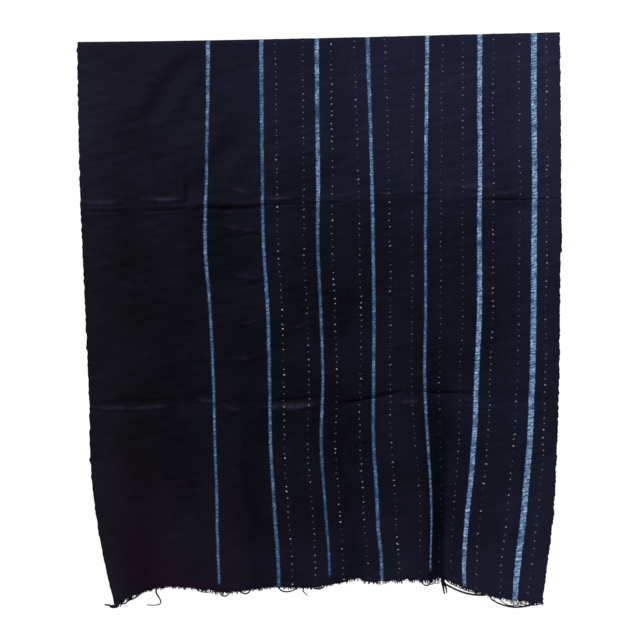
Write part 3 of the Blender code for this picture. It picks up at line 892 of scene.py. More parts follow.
@dataclass(frozen=True)
class StripeFinish:
    """The pale blue of the undyed stripe: ribbed by stitches, mottled, darkest where the dye crept in."""

    mid: Colour = (0.074, 0.148, 0.262, 1.0)
    pale: Colour = (0.188, 0.294, 0.420, 1.0)
    knot: Colour = (0.370, 0.460, 0.575, 1.0)
    lavender: Colour = (0.102, 0.147, 0.300, 1.0)
    crept: Colour = (0.008, 0.029, 0.064, 1.0)
    halo: Colour = (0.0032, 0.0190, 0.0620, 1.0)
    halo_reach: float = 0.0030
    edge_wander: float = 0.0048
    rib_pitch: float = 0.0062
    rib_height: float = 2.6

    def ribs(self, graph: Graph, side: object, along: object, seed: float) -> Socket:
        """The ribs that the stitches left across the stripe, about from 0 to 1.

        Args:
            graph: The material that is being made.
            side: Distance from the stripe's line.
            along: Distance along the cloth.
            seed: The stripe's own chance.

        Returns:
            The ribs' height.
        """
        slant = graph.math("MULTIPLY_ADD", side, 0.2, along)
        place = graph.vector(graph.times(side, 0.8), slant, seed)
        knots = graph.noise(place, 175.0, 4.0)
        drift = graph.times(graph.noise(graph.vector(along, seed, 0.0), 45.0, 1.0), 14.0)
        turns = graph.math("MULTIPLY_ADD", slant, math.tau / self.rib_pitch, drift)
        return graph.math("MULTIPLY_ADD", graph.math("SINE", turns), 0.07, knots)

    def paint(self, graph: Graph, stripe: Stripe, cloth: Socket) -> tuple[Socket, Socket]:
        """Lays the stripe on the cloth's colour.

        Args:
            graph: The material that is being made.
            stripe: The strip's own stripe.
            cloth: The cloth's colour.

        Returns:
            The new colour, and the relief of the stripe's ribs.
        """
        side, along = graph.uv(STRIPE_UV)
        half, tone = graph.uv(SHAPE_UV)
        seed = float(stripe.strip)
        ribs = self.ribs(graph, side, along, seed)
        edge_place = graph.vector(graph.times(side, 0.5), along, seed)
        ragged = graph.minus(graph.noise(edge_place, 150.0, 3.0), 0.5)
        offset = graph.times(ragged, self.edge_wander)
        past = graph.total(graph.minus(graph.math("ABSOLUTE", side), half), offset)
        inside = graph.spread(past, -0.0007, 0.0007, 1.0, 0.0)
        near = graph.spread(past, 0.0, self.halo_reach, 0.9, 0.0)
        ends = FRONT_LENGTH - stripe.ends * MM
        reaches = graph.spread(along, ends - 0.006, ends + 0.004, 1.0, 0.0)
        inside = graph.times(inside, reaches)
        near = graph.times(near, reaches)
        long_change = graph.noise(graph.vector(along, seed + 7.0, 0.0), 17.0, 2.0)
        blue = graph.mixed(graph.spread(long_change, 0.42, 0.62, 0.0, 0.7), self.mid, self.lavender)
        blue = graph.mixed(graph.spread(ribs, 0.44, 0.62, 0.0, 1.0), blue, self.pale)
        blue = graph.mixed(graph.spread(ribs, 0.34, 0.46, 0.75, 0.0), blue, self.crept)
        blue = graph.mixed(graph.spread(ribs, 0.60, 0.70, 0.0, 0.8), blue, self.knot)
        short_change = graph.noise(graph.vector(along, seed + 3.0, 0.0), 38.0, 4.0)
        patches = graph.spread(short_change, 0.34, 0.66, -0.48, 0.58)
        paleness = graph.total(tone, graph.times(patches, graph.total(tone, 0.10)))
        crease_light_mask = graph.uv(CREASE_LIGHT_UV)[0]
        # Painted highlight: the stripe is paler on the creases' ridges; painted shade: darker, towards the
        # crept colour, in their troughs.
        paleness = graph.total(
            paleness, graph.spread(crease_light_mask, 0.5, 2.0, 0.0, 0.30), graph.spread(crease_light_mask, -0.5, -2.0, 0.0, -0.35)
        )
        blue = graph.mixed(graph.math("MINIMUM", graph.math("MAXIMUM", paleness, 0.0), 1.0), self.crept, blue)
        colour = graph.mixed(near, cloth, self.halo)
        colour = graph.mixed(inside, colour, blue)
        relief = graph.times(graph.times(ribs, inside), self.rib_height)
        return colour, relief


@dataclass(frozen=True)
class DotFinish:
    """Rows of small spots that a tied stitch kept from the dye, uneven in place, size and strength."""

    bright: Colour = (0.560, 0.560, 0.640, 1.0)
    dull: Colour = (0.095, 0.090, 0.150, 1.0)
    pitch: float = 0.0145
    radius: float = 0.00160
    wander: float = 0.0075

    def paint(self, graph: Graph, stripe: Stripe, row: DotRow, cloth: Socket) -> Socket:
        """Lays one row of dots on the cloth's colour.

        Args:
            graph: The material that is being made.
            stripe: The strip's own stripe.
            row: The row of dots.
            cloth: The cloth's colour.

        Returns:
            The new colour.
        """
        side, along = graph.uv(STRIPE_UV)
        seed = stripe.strip * 2.0 + (1.0 if row.offset > 0 else 0.0)
        drift = graph.minus(graph.noise(graph.vector(along, seed, 0.0), 9.0, 3.0), 0.5)
        line = graph.math("MULTIPLY_ADD", drift, self.wander, row.offset * MM)
        turns = graph.total(graph.math("DIVIDE", along, self.pitch), 0.37 * seed)
        cell = graph.math("FLOOR", turns)
        chance = graph.chances(cell, seed)
        other = graph.chances(cell, seed + 50.0)
        jump = graph.times(graph.minus(chance.outputs[0], 0.5), 0.42)
        down = graph.minus(graph.minus(turns, cell), graph.total(jump, 0.5))
        down = graph.times(down, self.pitch)
        aside = graph.times(graph.minus(chance.outputs[1], 0.5), 0.0024)
        aside = graph.minus(side, graph.total(line, aside))
        slant = graph.times(graph.minus(other.outputs[0], 0.5), 1.3)
        down = graph.math("MULTIPLY_ADD", aside, slant, down)
        wide = graph.math("MULTIPLY_ADD", graph.math("POWER", other.outputs[1], 3.0), 0.0016, self.radius)
        tall = graph.math("MULTIPLY_ADD", other.outputs[2], -0.0004, self.radius)
        across_share = graph.math("DIVIDE", aside, wide)
        down_share = graph.math("DIVIDE", down, tall)
        squares = graph.total(graph.math("POWER", across_share, 2.0), graph.math("POWER", down_share, 2.0))
        fuzz = graph.times(graph.noise(graph.vector(side, along, seed), 900.0, 2.0), 0.8)
        spot = graph.spread(graph.total(squares, fuzz), 0.55, 1.55, 1.0, 0.0)
        long_change = graph.noise(graph.vector(along, seed + 20.0, 0.0), 11.0, 2.0)
        stretch = graph.spread(long_change, 0.34, 0.60, 0.50, 1.0)
        strength = graph.spread(chance.outputs[2], 0.0, 0.4, 0.28 * row.strength, row.strength)
        strength = graph.times(strength, stretch)
        pale = graph.times(graph.math("POWER", chance.outputs[2], 3.1), row.strength)
        colour = graph.mixed(pale, self.dull, self.bright)
        return graph.mixed(graph.times(spot, strength), cloth, colour)


@dataclass(frozen=True)
class StripedFinish:
    """A striped strip's whole finish."""

    indigo: IndigoFinish = IndigoFinish()
    stripe: StripeFinish = StripeFinish()
    dots: DotFinish = DotFinish()

    def material(self, name: str, stripe: Stripe) -> bpy.types.Material:
        """The material for one striped strip.

        Args:
            name: The material's name.
            stripe: The strip's own stripe and rows of dots.

        Returns:
            The new material.
        """
        graph = Graph(name, self.indigo.roughness)
        colour = self.indigo.colour(graph)
        for row in stripe.dots:
            colour = self.dots.paint(graph, stripe, row, colour)
        colour, ribs = self.stripe.paint(graph, stripe, colour)
        self.indigo.finish(graph, colour, graph.total(self.indigo.weave(graph), ribs))
        return graph.material


@dataclass(frozen=True)
class YarnFinish:
    """Hairy cotton yarn, uneven in tone along its length."""

    dark: Colour
    light: Colour
    roughness: float = 0.9
    relief_strength: float = 0.5
    relief_height: float = 0.0001
    specular: float = 0.08

    def material(self, name: str) -> bpy.types.Material:
        """The material for pieces made of this yarn."""
        graph = Graph(name, self.roughness)
        place = graph.node("ShaderNodeTexCoord", {}, {}).outputs["Object"]
        tone = graph.spread(graph.noise(place, 140.0, 3.0), 0.38, 0.66, 0.0, 1.0)
        twist = graph.noise(place, 2200.0, 1.0)
        relief = {"Strength": self.relief_strength, "Distance": self.relief_height, "Height": twist}
        bump = graph.node("ShaderNodeBump", {}, relief)
        graph.put(graph.shader.inputs["Base Color"], graph.mixed(tone, self.dark, self.light))
        graph.put(graph.shader.inputs["Normal"], bump.outputs[0])
        graph.shader.inputs["Specular IOR Level"].default_value = self.specular
        return graph.material


YARNS = {
    "indigo_yarn": YarnFinish((0.0025, 0.0025, 0.0042, 1.0), (0.0085, 0.0085, 0.0130, 1.0)),
    "sewing_thread": YarnFinish((0.0180, 0.0190, 0.0330, 1.0), (0.0600, 0.0620, 0.0900, 1.0)),
    "pale_fibre": YarnFinish((0.18, 0.24, 0.36, 1.0), (0.50, 0.55, 0.66, 1.0)),
}
WEAVE_UV = "Weave"
STRIPE_UV = "Stripe"
SHAPE_UV = "Shape"
# The UV map that carries the mask for painted crease highlights and shade.
CREASE_LIGHT_UV = "CreaseLight"
STRIPED_SLOT = "striped_indigo_cloth"
FRAY_SLOT = "frayed_cotton"


def added(name: str, data: bpy.types.ID) -> Piece:
    """Puts a new object made of this data into the scene."""
    made = bpy.data.objects.new(name, data)
    bpy.context.scene.collection.objects.link(made)
    return made


def only(piece: Piece) -> None:
    """Makes a piece the only one selected, and the active one."""
    bpy.ops.object.select_all(action="DESELECT")
    piece.select_set(True)
    bpy.context.view_layer.objects.active = piece


def triangles_of(piece: Piece) -> int:
    """How many triangles a piece has."""
    return sum(len(polygon.vertices) - 2 for polygon in piece.data.polygons)


def mesh_piece(
    name: str, points: Values, faces: Sequence[Sequence[int]], material: bpy.types.Material
) -> Piece:
    """Makes a piece with its place in its mesh.

    Args:
        name: The piece's name.
        points: Its corners, in metres.
        faces: Its faces, each by its corners' numbers.
        material: Its finish.

    Returns:
        The new piece.
    """
    mesh = bpy.data.meshes.new(name)
    mesh.from_pydata(points.tolist(), [], faces)
    mesh.materials.append(material)
    mesh.shade_smooth()
    return added(name, mesh)


def finished(piece: Piece, replaces: Sequence[str] = ()) -> Piece:
    """Ties a piece to the cloth and reports it.

    Args:
        piece: The piece.
        replaces: The solids that it stands for.

    Returns:
        The same piece.
    """
    if replaces:
        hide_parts(*replaces)
    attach(piece, BODY)
    log.info("%s: %d triangles", piece.name, triangles_of(piece))
    return piece


@dataclass(frozen=True)
class ClothStrip:
    """One woven strip, from the front hem up over the fold and down the back."""

    number: int
    surface: HangingCloth
    stripe: Stripe | None
    plain_column: float = 0.0072
    fine_column: float = 0.0019
    front_row: float = 0.0021
    back_row: float = 0.0046
    bend_steps: int = 14
    ragged: float = 0.0016
    ragged_depth: float = 0.040
    short_of_hem: float = 0.0003
    seam_overlap: float = 0.0010
    seam_sink: float = 0.0007
    seam_curve: float = 1.4
    seam_dip: float = 0.0003
    seam_roll: float = 0.0022
    stripe_room: float = 0.004
    stripe_swell: float = 0.0005
    stripe_pinch: float = 0.0004
    dot_pinch: float = 0.0005
    dot_reach: float = 0.006
    rib_waves: int = 9
    rib_lengths: tuple[float, float] = (0.0048, 0.0150)
    edge_columns: tuple[float, float] = (0.0012, 0.0030)
    selvedge_waves: int = 14
    selvedge_lengths: tuple[float, float] = (0.0075, 0.060)
    selvedge_bump: float = 0.00022

    @property
    def left(self) -> float:
        """The strip's left edge, across."""
        return (self.number - 1) * STRIP_WIDTH

    @property
    def right(self) -> float:
        """The strip's right edge, across."""
        return self.number * STRIP_WIDTH

    def dot_offsets(self) -> list[float]:
        """The distances from the stripe to its rows of dots, in metres."""
        if self.stripe is None:
            return []
        return [row.offset * MM for row in self.stripe.dots]

    def columns(self) -> Values:
        """The places across of the columns, closer together at the stripe, at the dots and at the edges."""
        places = [self.left, self.right]
        for inside in self.edge_columns:
            places += [self.left + inside, self.right - inside]
        if self.number > 1:
            places.append(self.left - self.seam_overlap)
        if self.stripe is not None:
            centre = (self.left + self.right) / 2
            reach = max(self.stripe.half_widths) * MM + self.stripe_room
            count = math.ceil(2 * reach / self.fine_column)
            places += list(centre + np.linspace(-reach, reach, count + 1))
            for offset in self.dot_offsets():
                places += list(centre + offset + self.fine_column * np.arange(-1.5, 2.0))
        places.sort()
        filled = [places[0]]
        for place in places[1:]:
            gap = place - filled[-1]
            steps = max(1, round(gap / self.plain_column))
            filled += [filled[-1] + gap * step / steps for step in range(1, steps + 1)]
        return np.array(filled)

    def rows(self) -> Values:
        """The places along of the rows, from the front hem to the end of the back."""
        front = np.linspace(FRONT_LENGTH - self.short_of_hem, 0, round(FRONT_LENGTH / self.front_row) + 1)
        bend = np.linspace(0, -BEND_LENGTH, self.bend_steps + 1)[1:]
        back_end = -BEND_LENGTH - BACK_LENGTH + self.short_of_hem
        back = np.linspace(-BEND_LENGTH, back_end, round(BACK_LENGTH / self.back_row) + 1)[1:]
        return np.concatenate([front, bend, back])

    def relief(self, across: Values, along: Values) -> Values:
        """How far the cloth stands off its middle surface at seams, stripe and dots.

        Args:
            across: Places across, in metres.
            along: Places along, in metres.

        Returns:
            The height at each place, in metres.
        """
        height = np.zeros_like(across)
        if self.number > 1:
            width = self.seam_roll + self.seam_overlap
            under = np.clip((self.left + self.seam_roll - across) / width, 0, 1)
            height -= self.seam_sink * under**self.seam_curve
        if self.number < STRIP_COUNT:
            over = np.clip((across - self.right + self.seam_roll) / self.seam_roll, 0, 1)
            height -= self.seam_dip * over
        if self.stripe is None:
            return height
        side = across - self.stripe.line(along)
        band = 0.5 + 0.5 * np.cos(np.pi * np.clip(side / (2 * self.stripe.half_width(along)), -1, 1))
        chance = Random(100 + self.number)
        ribs = np.zeros_like(along)
        for _ in range(self.rib_waves):
            wave = math.tau / chance.uniform(*self.rib_lengths)
            ribs += np.sin(wave * along + chance.uniform(-90, 90) * side + chance.uniform(0, math.tau)) / 3
        height += band * (self.stripe_swell + self.stripe_pinch * ribs)
        for offset in self.dot_offsets():
            turns = along / DotFinish.pitch
            near_dot = hump(turns - np.round(turns), 0.5) * hump(side - offset, self.dot_reach)
            height -= self.dot_pinch * near_dot
        return height

    def ragged_ends(self, across: Values, along: Values, columns: int) -> Values:
        """Draws the last rows at both ends up or down a little, as raw ends are.

        Args:
            across: Places across, with a row for each row of the strip.
            along: Places along, in the same order.
            columns: How many columns the strip has.

        Returns:
            The places along, with the end rows moved.
        """
        chance = Random(200 + self.number)
        along = along.copy()
        ends = ((FRONT_LENGTH, 1, FRONT_FRAYED), (-BEND_LENGTH - BACK_LENGTH, -1, BACK_FRAYED))
        for end, outward, stretches in ends:
            nearness = np.clip(1 - (end - along) * outward / self.ragged_depth, 0, 1)
            unevenness = np.array([chance.uniform(0, self.ragged) for _ in range(columns)])
            along -= outward * (unevenness + lost_weave(across, stretches)) * nearness**2
        return along

    def selvedge(self, across: Values, along: Values, columns: int) -> Values:
        """Lets the outer edge of the cloth wander a little, where the weft turns back.

        Args:
            across: Places across, with a row for each row of the strip.
            along: Places along, in the same order.
            columns: How many columns the strip has.

        Returns:
            The places across, with the outer edge moved.
        """
        if self.number not in (1, STRIP_COUNT):
            return across
        edge, outward = (0, -1) if self.number == 1 else (columns - 1, 1)
        chance = Random(300 + self.number)
        bumps = np.zeros(len(along))
        for _ in range(self.selvedge_waves):
            wave = math.tau / chance.uniform(*self.selvedge_lengths)
            bumps += np.sin(wave * along[:, edge] + chance.uniform(0, math.tau))
        across = across.copy()
        across[:, edge] += outward * self.selvedge_bump * bumps
        return across

    def build(self, material: bpy.types.Material) -> Piece:
        """Builds the strip as a thin closed sheet with its UV maps.

        Args:
            material: The strip's finish.

        Returns:
            The new piece.
        """
        columns, rows = self.columns(), self.rows()
        across, along = np.meshgrid(columns, rows)
        along = self.ragged_ends(across, along, len(columns))
        across = self.selvedge(across, along, len(columns))
        flat_across, flat_along = across.ravel(), along.ravel()
        height = self.relief(flat_across, flat_along)
        points = self.surface.raised(flat_across, flat_along, height)
        number = np.arange(len(points)).reshape(across.shape)
        corners = [number[:-1, :-1], number[:-1, 1:], number[1:, 1:], number[1:, :-1]]
        faces = np.stack(corners, axis=-1).reshape(-1, 4).tolist()
        piece = mesh_piece(f"cloth_strip_{self.number}", points, faces, material)
        self.lay_uv(piece, WEAVE_UV, flat_across, flat_along)
        self.lay_uv(piece, CREASE_LIGHT_UV, self.surface.crease_light_mask(flat_across, flat_along), np.zeros_like(flat_along))
        if self.stripe is not None:
            self.lay_uv(piece, STRIPE_UV, flat_across - self.stripe.line(flat_along), flat_along)
            self.lay_uv(piece, SHAPE_UV, self.stripe.half_width(flat_along), self.stripe.tone(flat_along))
        only(piece)
        thicken = piece.modifiers.new("thickness", "SOLIDIFY")
        thicken.thickness = SHEET_THICKNESS
        thicken.offset = 0.0
        bpy.ops.object.modifier_apply(modifier=thicken.name)
        return finished(piece, [f"strip_{self.number}"])

    def lay_uv(self, piece: Piece, name: str, u: Values, v: Values) -> None:
        """Gives the piece a UV map with two values at each corner of its mesh.

        Args:
            piece: The strip's piece.
            name: The map's name.
            u: The first value at each corner.
            v: The second value at each corner.
        """
        layer = piece.data.uv_layers.new(name=name)
        corner = np.empty(len(piece.data.loops), np.int32)
        piece.data.loops.foreach_get("vertex_index", corner)
        layer.data.foreach_set("uv", np.stack([u, v], axis=-1)[corner].astype(np.float32).ravel())


@dataclass(frozen=True)
class SeamStitches:
    """The whipped stitches that join the strips, modelled once and copied along every seam."""

    surface: HangingCloth
    pitch: float = 0.0092
    unevenness: tuple[float, float] = (0.85, 1.15)
    end_room: float = 0.004
    reach: float = 0.0019
    thread_radius: float = 0.00036
    rise: float = 0.0007
    slant: float = 0.0012
    sides: int = 5
    steps: int = 4

    def one_stitch(self) -> tuple[Values, list[tuple[int, ...]]]:
        """Models a single stitch as a half ring across the seam.

        Returns:
            Its corners, with x across, y along and z out of the cloth, and its faces.
        """
        bpy.ops.object.select_all(action="DESELECT")
        bpy.ops.mesh.primitive_circle_add(
            vertices=self.sides,
            radius=self.thread_radius,
            fill_type="NGON",
            location=(self.reach, 0, 0),
        )
        stitch = bpy.context.object
        bpy.ops.object.transform_apply(location=True, rotation=True, scale=True)
        bpy.ops.object.mode_set(mode="EDIT")
        bpy.ops.mesh.select_all(action="SELECT")
        bpy.ops.mesh.spin(
            steps=self.steps, angle=-math.pi, center=(0, 0, 0), axis=(0, 1, 0), use_auto_merge=False
        )
        bpy.ops.mesh.select_all(action="SELECT")
        bpy.ops.mesh.normals_make_consistent(inside=False)
        bpy.ops.object.mode_set(mode="OBJECT")
        points = np.array([tuple(vert.co) for vert in stitch.data.vertices])
        points[:, 2] *= self.rise / self.reach
        points[:, 1] += self.slant * points[:, 0] / self.reach
        faces = [tuple(polygon.vertices) for polygon in stitch.data.polygons]
        bpy.data.objects.remove(stitch, do_unlink=True)
        return points, faces

    def build(self, material: bpy.types.Material) -> Piece:
        """Copies the stitch along every seam, into one piece.

        Args:
            material: The sewing thread's finish.

        Returns:
            The new piece.
        """
        shape, faces = self.one_stitch()
        chance = Random(41)
        places = []
        for seam in range(1, STRIP_COUNT):
            along = FRONT_LENGTH - self.end_room
            while along > -BEND_LENGTH - BACK_LENGTH + self.end_room:
                places.append((seam * STRIP_WIDTH, along, chance.uniform(*self.unevenness)))
                along -= self.pitch * chance.uniform(*self.unevenness)
        across, along, size = np.array(places).T
        sideways, downwards, out = self.surface.directions(across, along)
        centre = self.surface.raised(across, along, np.full_like(across, SHEET_THICKNESS * 0.15))
        scaled = shape[None] * size[:, None, None]
        points = (
            centre[:, None]
            + scaled[..., :1] * sideways[:, None]
            + scaled[..., 1:2] * downwards[:, None]
            + scaled[..., 2:] * out[:, None]
        )
        copies = [
            tuple(corner + number * len(shape) for corner in face)
            for number in range(len(places))
            for face in faces
        ]
        return finished(mesh_piece("seam_stitches", points.reshape(-1, 3), copies, material))


@dataclass
class YarnBundle:
    """Many lengths of yarn that become one mesh piece; at a roundness of 0 they have four sides."""

    name: str
    radius: float
    roundness: int

    def __post_init__(self) -> None:
        """Starts the curve that holds the yarn."""
        self.curve = bpy.data.curves.new(self.name, "CURVE")
        self.curve.dimensions = "3D"
        self.curve.bevel_depth = self.radius
        self.curve.bevel_resolution = self.roundness
        self.curve.use_fill_caps = True

    def add(self, path: Sequence[Vector], start: float = 1.0, end: float = 0.6) -> None:
        """Adds one length of yarn.

        Args:
            path: The points that it follows.
            start: Its thickness at the start, as a share of the radius.
            end: Its thickness at the end.
        """
        spline = self.curve.splines.new("POLY")
        spline.points.add(len(path) - 1)
        for number, (point, place) in enumerate(zip(spline.points, path)):
            point.co = (*place, 1.0)
            point.radius = start + (end - start) * number / (len(path) - 1)

    def build(self, material: bpy.types.Material, slot: str, replaces: Sequence[str] = ()) -> Piece:
        """Turns the yarn into a mesh piece.

        Args:
            material: Its finish.
            slot: The name of a material slot; not used.
            replaces: The solids that it stands for.

        Returns:
            The new piece.
        """
        only(added(self.name, self.curve))
        bpy.ops.object.convert(target="MESH")
        piece = bpy.context.object
        piece.data.materials.clear()
        piece.data.materials.append(material)
        piece.data.shade_smooth()
        return finished(piece, replaces)


def curl(
    root: Vector, first: Vector, second: Vector, tip: Vector, steps: int, shake: float, seed: int
) -> list[Vector]:
    """Points on the curve that leaves the root, is drawn by two pulls and ends at the tip, slightly shaken.

    Args:
        root: Where the thread leaves the cloth.
        first: The first pull, from the root.
        second: The second pull, from the root.
        tip: The tip, from the root.
        steps: How many points follow the root.
        shake: The largest sideways kink, in metres.
        seed: The chance's seed.

    Returns:
        The points, the root first.
    """
    chance = Random(seed)
    phases = [chance.uniform(0, math.tau) for _ in range(3)]
    path = []
    for step in range(steps + 1):
        t = step / steps
        offset = 3 * t * (1 - t) ** 2 * first + 3 * t**2 * (1 - t) * second + t**3 * tip
        turns = [phase + math.tau * t * (1.6 + 0.8 * axis) for axis, phase in enumerate(phases)]
        kink = Vector([math.sin(turn) for turn in turns])
        path.append(root + offset + kink * shake * min(1.0, 4 * t))
    return path


@dataclass(frozen=True)
class FrayedHem:
    """A raw end of the cloth: its short uneven threads, and the longer ones that have worked loose."""

    hem: Hem
    surface: HangingCloth
    frayed: tuple[Frayed, ...]
    loose: tuple[Thread, ...] = ()
    loops: tuple[Loop, ...] = ()
    strand_pitch: float = 0.00080
    strand_radius: float = 0.00064
    thread_radius: float = 0.00155
    shortest: float = 0.0008
    longest: float = 0.0064
    clump_widths: tuple[float, float] = (0.0018, 0.0060)
    root_depth: float = 0.0024
    loose_depth: float = 0.001
    loop_depth: float = 0.0008
    missing: float = 0.25

    def edge(self, across: Values, inside: Values) -> Values:
        """Points on the cloth near the hem, at places across and distances inside the edge."""
        if self.hem is Hem.FRONT:
            along = FRONT_LENGTH - inside
        else:
            along = -BEND_LENGTH - BACK_LENGTH + inside
        return self.surface.middle(across, along)

    def strands(self, bundle: YarnBundle) -> None:
        """Adds the short frayed threads, which lean in clumps and stand apart where weft is lost.

        Args:
            bundle: Where the threads go.
        """
        chance = Random(71 if self.hem is Hem.FRONT else 72)
        count = round(CLOTH_WIDTH / self.strand_pitch)
        places = np.array([(n + chance.uniform(0.15, 0.85)) * self.strand_pitch for n in range(count)])
        lost = lost_weave(places, self.frayed)
        roots = self.edge(places, self.root_depth + lost)
        clump, lean, length = 0.0, 0.0, self.shortest
        for across, gone, root in zip(places, lost, roots):
            if across >= clump:
                clump = across + chance.uniform(*self.clump_widths)
                lean = chance.uniform(-0.5, 0.5)
                length = self.shortest + (self.longest - self.shortest) * chance.random() ** 1.9
            if gone > 0.001 and chance.random() < self.missing:
                continue
            reach = length * chance.uniform(0.7, 1.1) + 0.7 * gone
            forward = chance.uniform(-0.16, 0.16) * reach
            apart = chance.uniform(-0.25, 0.25) * (gone + 0.002)
            side = lean * reach + 0.25 * (clump - 0.003 - across) + apart
            first = Vector((-0.3 * side, 0, -0.4 * reach))
            second = Vector((side * chance.uniform(0.2, 0.9), forward, -0.8 * reach))
            tip = Vector((side, forward, -reach - self.root_depth))
            thickness = 0.8 if gone > 0.001 else 1.0
            curve = curl(Vector(root), first, second, tip, 4, 0.0002, chance.randrange(10**6))
            bundle.add(curve, thickness, 0.65 * thickness)

    def loose_threads(self, bundle: YarnBundle) -> None:
        """Adds the longer threads that hang below the hem.

        Args:
            bundle: Where the threads go.
        """
        chance = Random(90)
        places = np.array([thread.across * MM for thread in self.loose])
        roots = self.edge(places, np.full(len(places), self.loose_depth))
        for thread, root in zip(self.loose, roots):
            numbers = np.arange(len(thread.path))
            steps = np.linspace(0, len(thread.path) - 1, 5 * len(thread.path))
            columns = np.array(thread.path, float).T
            sideways, falls = (smooth_through(numbers, column, steps) for column in columns)
            forward = chance.uniform(0.5, 2.0) * ease(steps / 2)
            shake = [Vector([chance.uniform(-0.15, 0.15) for _ in range(3)]) for _ in steps]
            points = zip(sideways, -forward, -falls)
            path = [Vector(root) + MM * (Vector(point) + small) for point, small in zip(points, shake)]
            bundle.add(path, thread.thickness, 0.45 * thread.thickness)

    def hanging_loops(self, bundle: YarnBundle) -> None:
        """Adds the weft threads that have slipped off the edge and sag below it between two places.

        Args:
            bundle: Where the threads go.
        """
        for number, loop in enumerate(self.loops):
            chance = Random(500 + number)
            t = np.linspace(0, 1, max(9, round((loop.end - loop.start) / 2.5)))
            sag = loop.sag * np.sin(np.pi * t**loop.skew).clip(0) ** 0.6
            across = (loop.start + (loop.end - loop.start) * t) * MM
            places = self.edge(across, np.full(len(t), self.loop_depth))
            shake = [chance.uniform(-0.2, 0.2) for _ in t]
            path = [Vector(p) + MM * Vector((s, -0.6, s - low)) for p, low, s in zip(places, sag, shake)]
            bundle.add(path, loop.thickness, loop.thickness)

    def build(self, material: bpy.types.Material) -> list[Piece]:
        """Builds the hem's threads.

        Args:
            material: The yarn's finish.

        Returns:
            The new pieces.
        """
        short = YarnBundle(f"{self.hem.value}_fringe", self.strand_radius, 0)
        self.strands(short)
        made = [short.build(material, FRAY_SLOT, [f"{self.hem.value}_frayed_edge"])]
        if self.loose or self.loops:
            long = YarnBundle(f"{self.hem.value}_loose_threads", self.thread_radius, 1)
            self.loose_threads(long)
            self.hanging_loops(long)
            made.append(long.build(material, FRAY_SLOT))
        return made


@dataclass(frozen=True)
class PaleFibres:
    """Pale fibres that stand out of the stripes where stitches were cut, and stray ones on the cloth."""

    surface: HangingCloth
    tufts_per_stripe: int = 15
    fibres_per_tuft: int = 6
    stray_fibres: int = 46
    end_room: float = 0.010
    tuft_spread: float = 0.0007
    root_lift: float = 0.0008
    radius: float = 0.00030
    shortest: float = 0.0016
    longest: float = 0.0048

    def roots(self, chance: Random) -> Values:
        """The places across and along where the fibres start."""
        back_end = -BEND_LENGTH - BACK_LENGTH + self.end_room
        places = []
        for stripe in STRIPES:
            for _ in range(self.tufts_per_stripe):
                along = chance.uniform(back_end, FRONT_LENGTH - max(0, stripe.ends) * MM - self.end_room)
                at = np.array([along])
                way = chance.choice((-1, 1)) * chance.uniform(0.8, 1.1)
                across = float(stripe.line(at)[0] + way * stripe.half_width(at)[0])
                for _ in range(self.fibres_per_tuft):
                    aside, down = chance.gauss(0, self.tuft_spread), chance.gauss(0, self.tuft_spread)
                    places.append((across + aside, along + down))
        for _ in range(self.stray_fibres):
            across = chance.uniform(self.end_room, CLOTH_WIDTH - self.end_room)
            places.append((across, chance.uniform(back_end, FRONT_LENGTH - self.end_room)))
        return np.array(places)

    def build(self, material: bpy.types.Material) -> Piece:
        """Builds all the fibres as one piece, each curled and lying near the cloth.

        Args:
            material: The fibres' finish.

        Returns:
            The new piece.
        """
        bundle = YarnBundle("pale_fibres", self.radius, 0)
        chance = Random(83)
        across, along = self.roots(chance).T
        frames = self.surface.directions(across, along)
        roots = self.surface.raised(across, along, np.full_like(across, self.root_lift))
        for root, *frame in zip(roots, *frames):
            sideways, downwards, out = (Vector(direction) for direction in frame)
            length = chance.uniform(self.shortest, self.longest)
            turn = chance.uniform(0, math.tau)
            flat = math.cos(turn) * sideways + 0.6 * math.sin(turn) * downwards
            bent = math.cos(turn + 0.8) * sideways + 0.6 * math.sin(turn + 0.8) * downwards
            first = length * (0.3 * flat + 0.3 * out)
            second = length * (0.7 * flat + 0.35 * out)
            tip = length * (0.6 * flat + 0.4 * bent + 0.15 * out)
            bundle.add(curl(Vector(root), first, second, tip, 4, 0.0002, chance.randrange(10**6)), 1.2, 0.7)
        return bundle.build(material, STRIPED_SLOT)


FRONT_FRAYED = (
    Frayed(-4, 9, 4),
    Frayed(26, 38, 3),
    Frayed(52, 60, 2),
    Frayed(252, 266, 2),
    Frayed(586, 598, 3),
    Frayed(602, 616, 4),
    Frayed(654, 668, 3.5),
    Frayed(674, 692, 3),
    Frayed(708, 722, 3),
    Frayed(732, 748, 2),
    Frayed(758, 776, 4.5),
    Frayed(788, 822, 5.5),
    Frayed(988, 1006, 4),
    Frayed(1006, 1030, 5),
    Frayed(1028, 1046, 5),
)
BACK_FRAYED = (Frayed(120, 165, 4), Frayed(480, 505, 5), Frayed(700, 760, 3), Frayed(930, 950, 5))
FRONT_LOOPS = (
    Loop(18, 44, 5),
    Loop(36, 70, 4.5, 0.9),
    Loop(222, 262, 5, 1.1, 0.7),
    Loop(285, 309, 9),
    Loop(333, 358, 7, 1.5),
    Loop(424, 464, 10, 0.8),
    Loop(506, 530, 5),
    Loop(754, 780, 7),
    Loop(770, 800, 5, 1.0, 0.6),
    Loop(790, 824, 6, 0.8, 0.5),
    Loop(832, 952, 13, 0.6, 1.45),
    Loop(846, 946, 5, 0.6, 0.7),
    Loop(962, 1060, 11, 0.6, 1.3),
    Loop(985, 1026, 8, 1.0, 0.8),
    Loop(1012, 1050, 6, 1.0, 0.5),
    Loop(1030, 1079, 4, 1.0, 0.8),
)
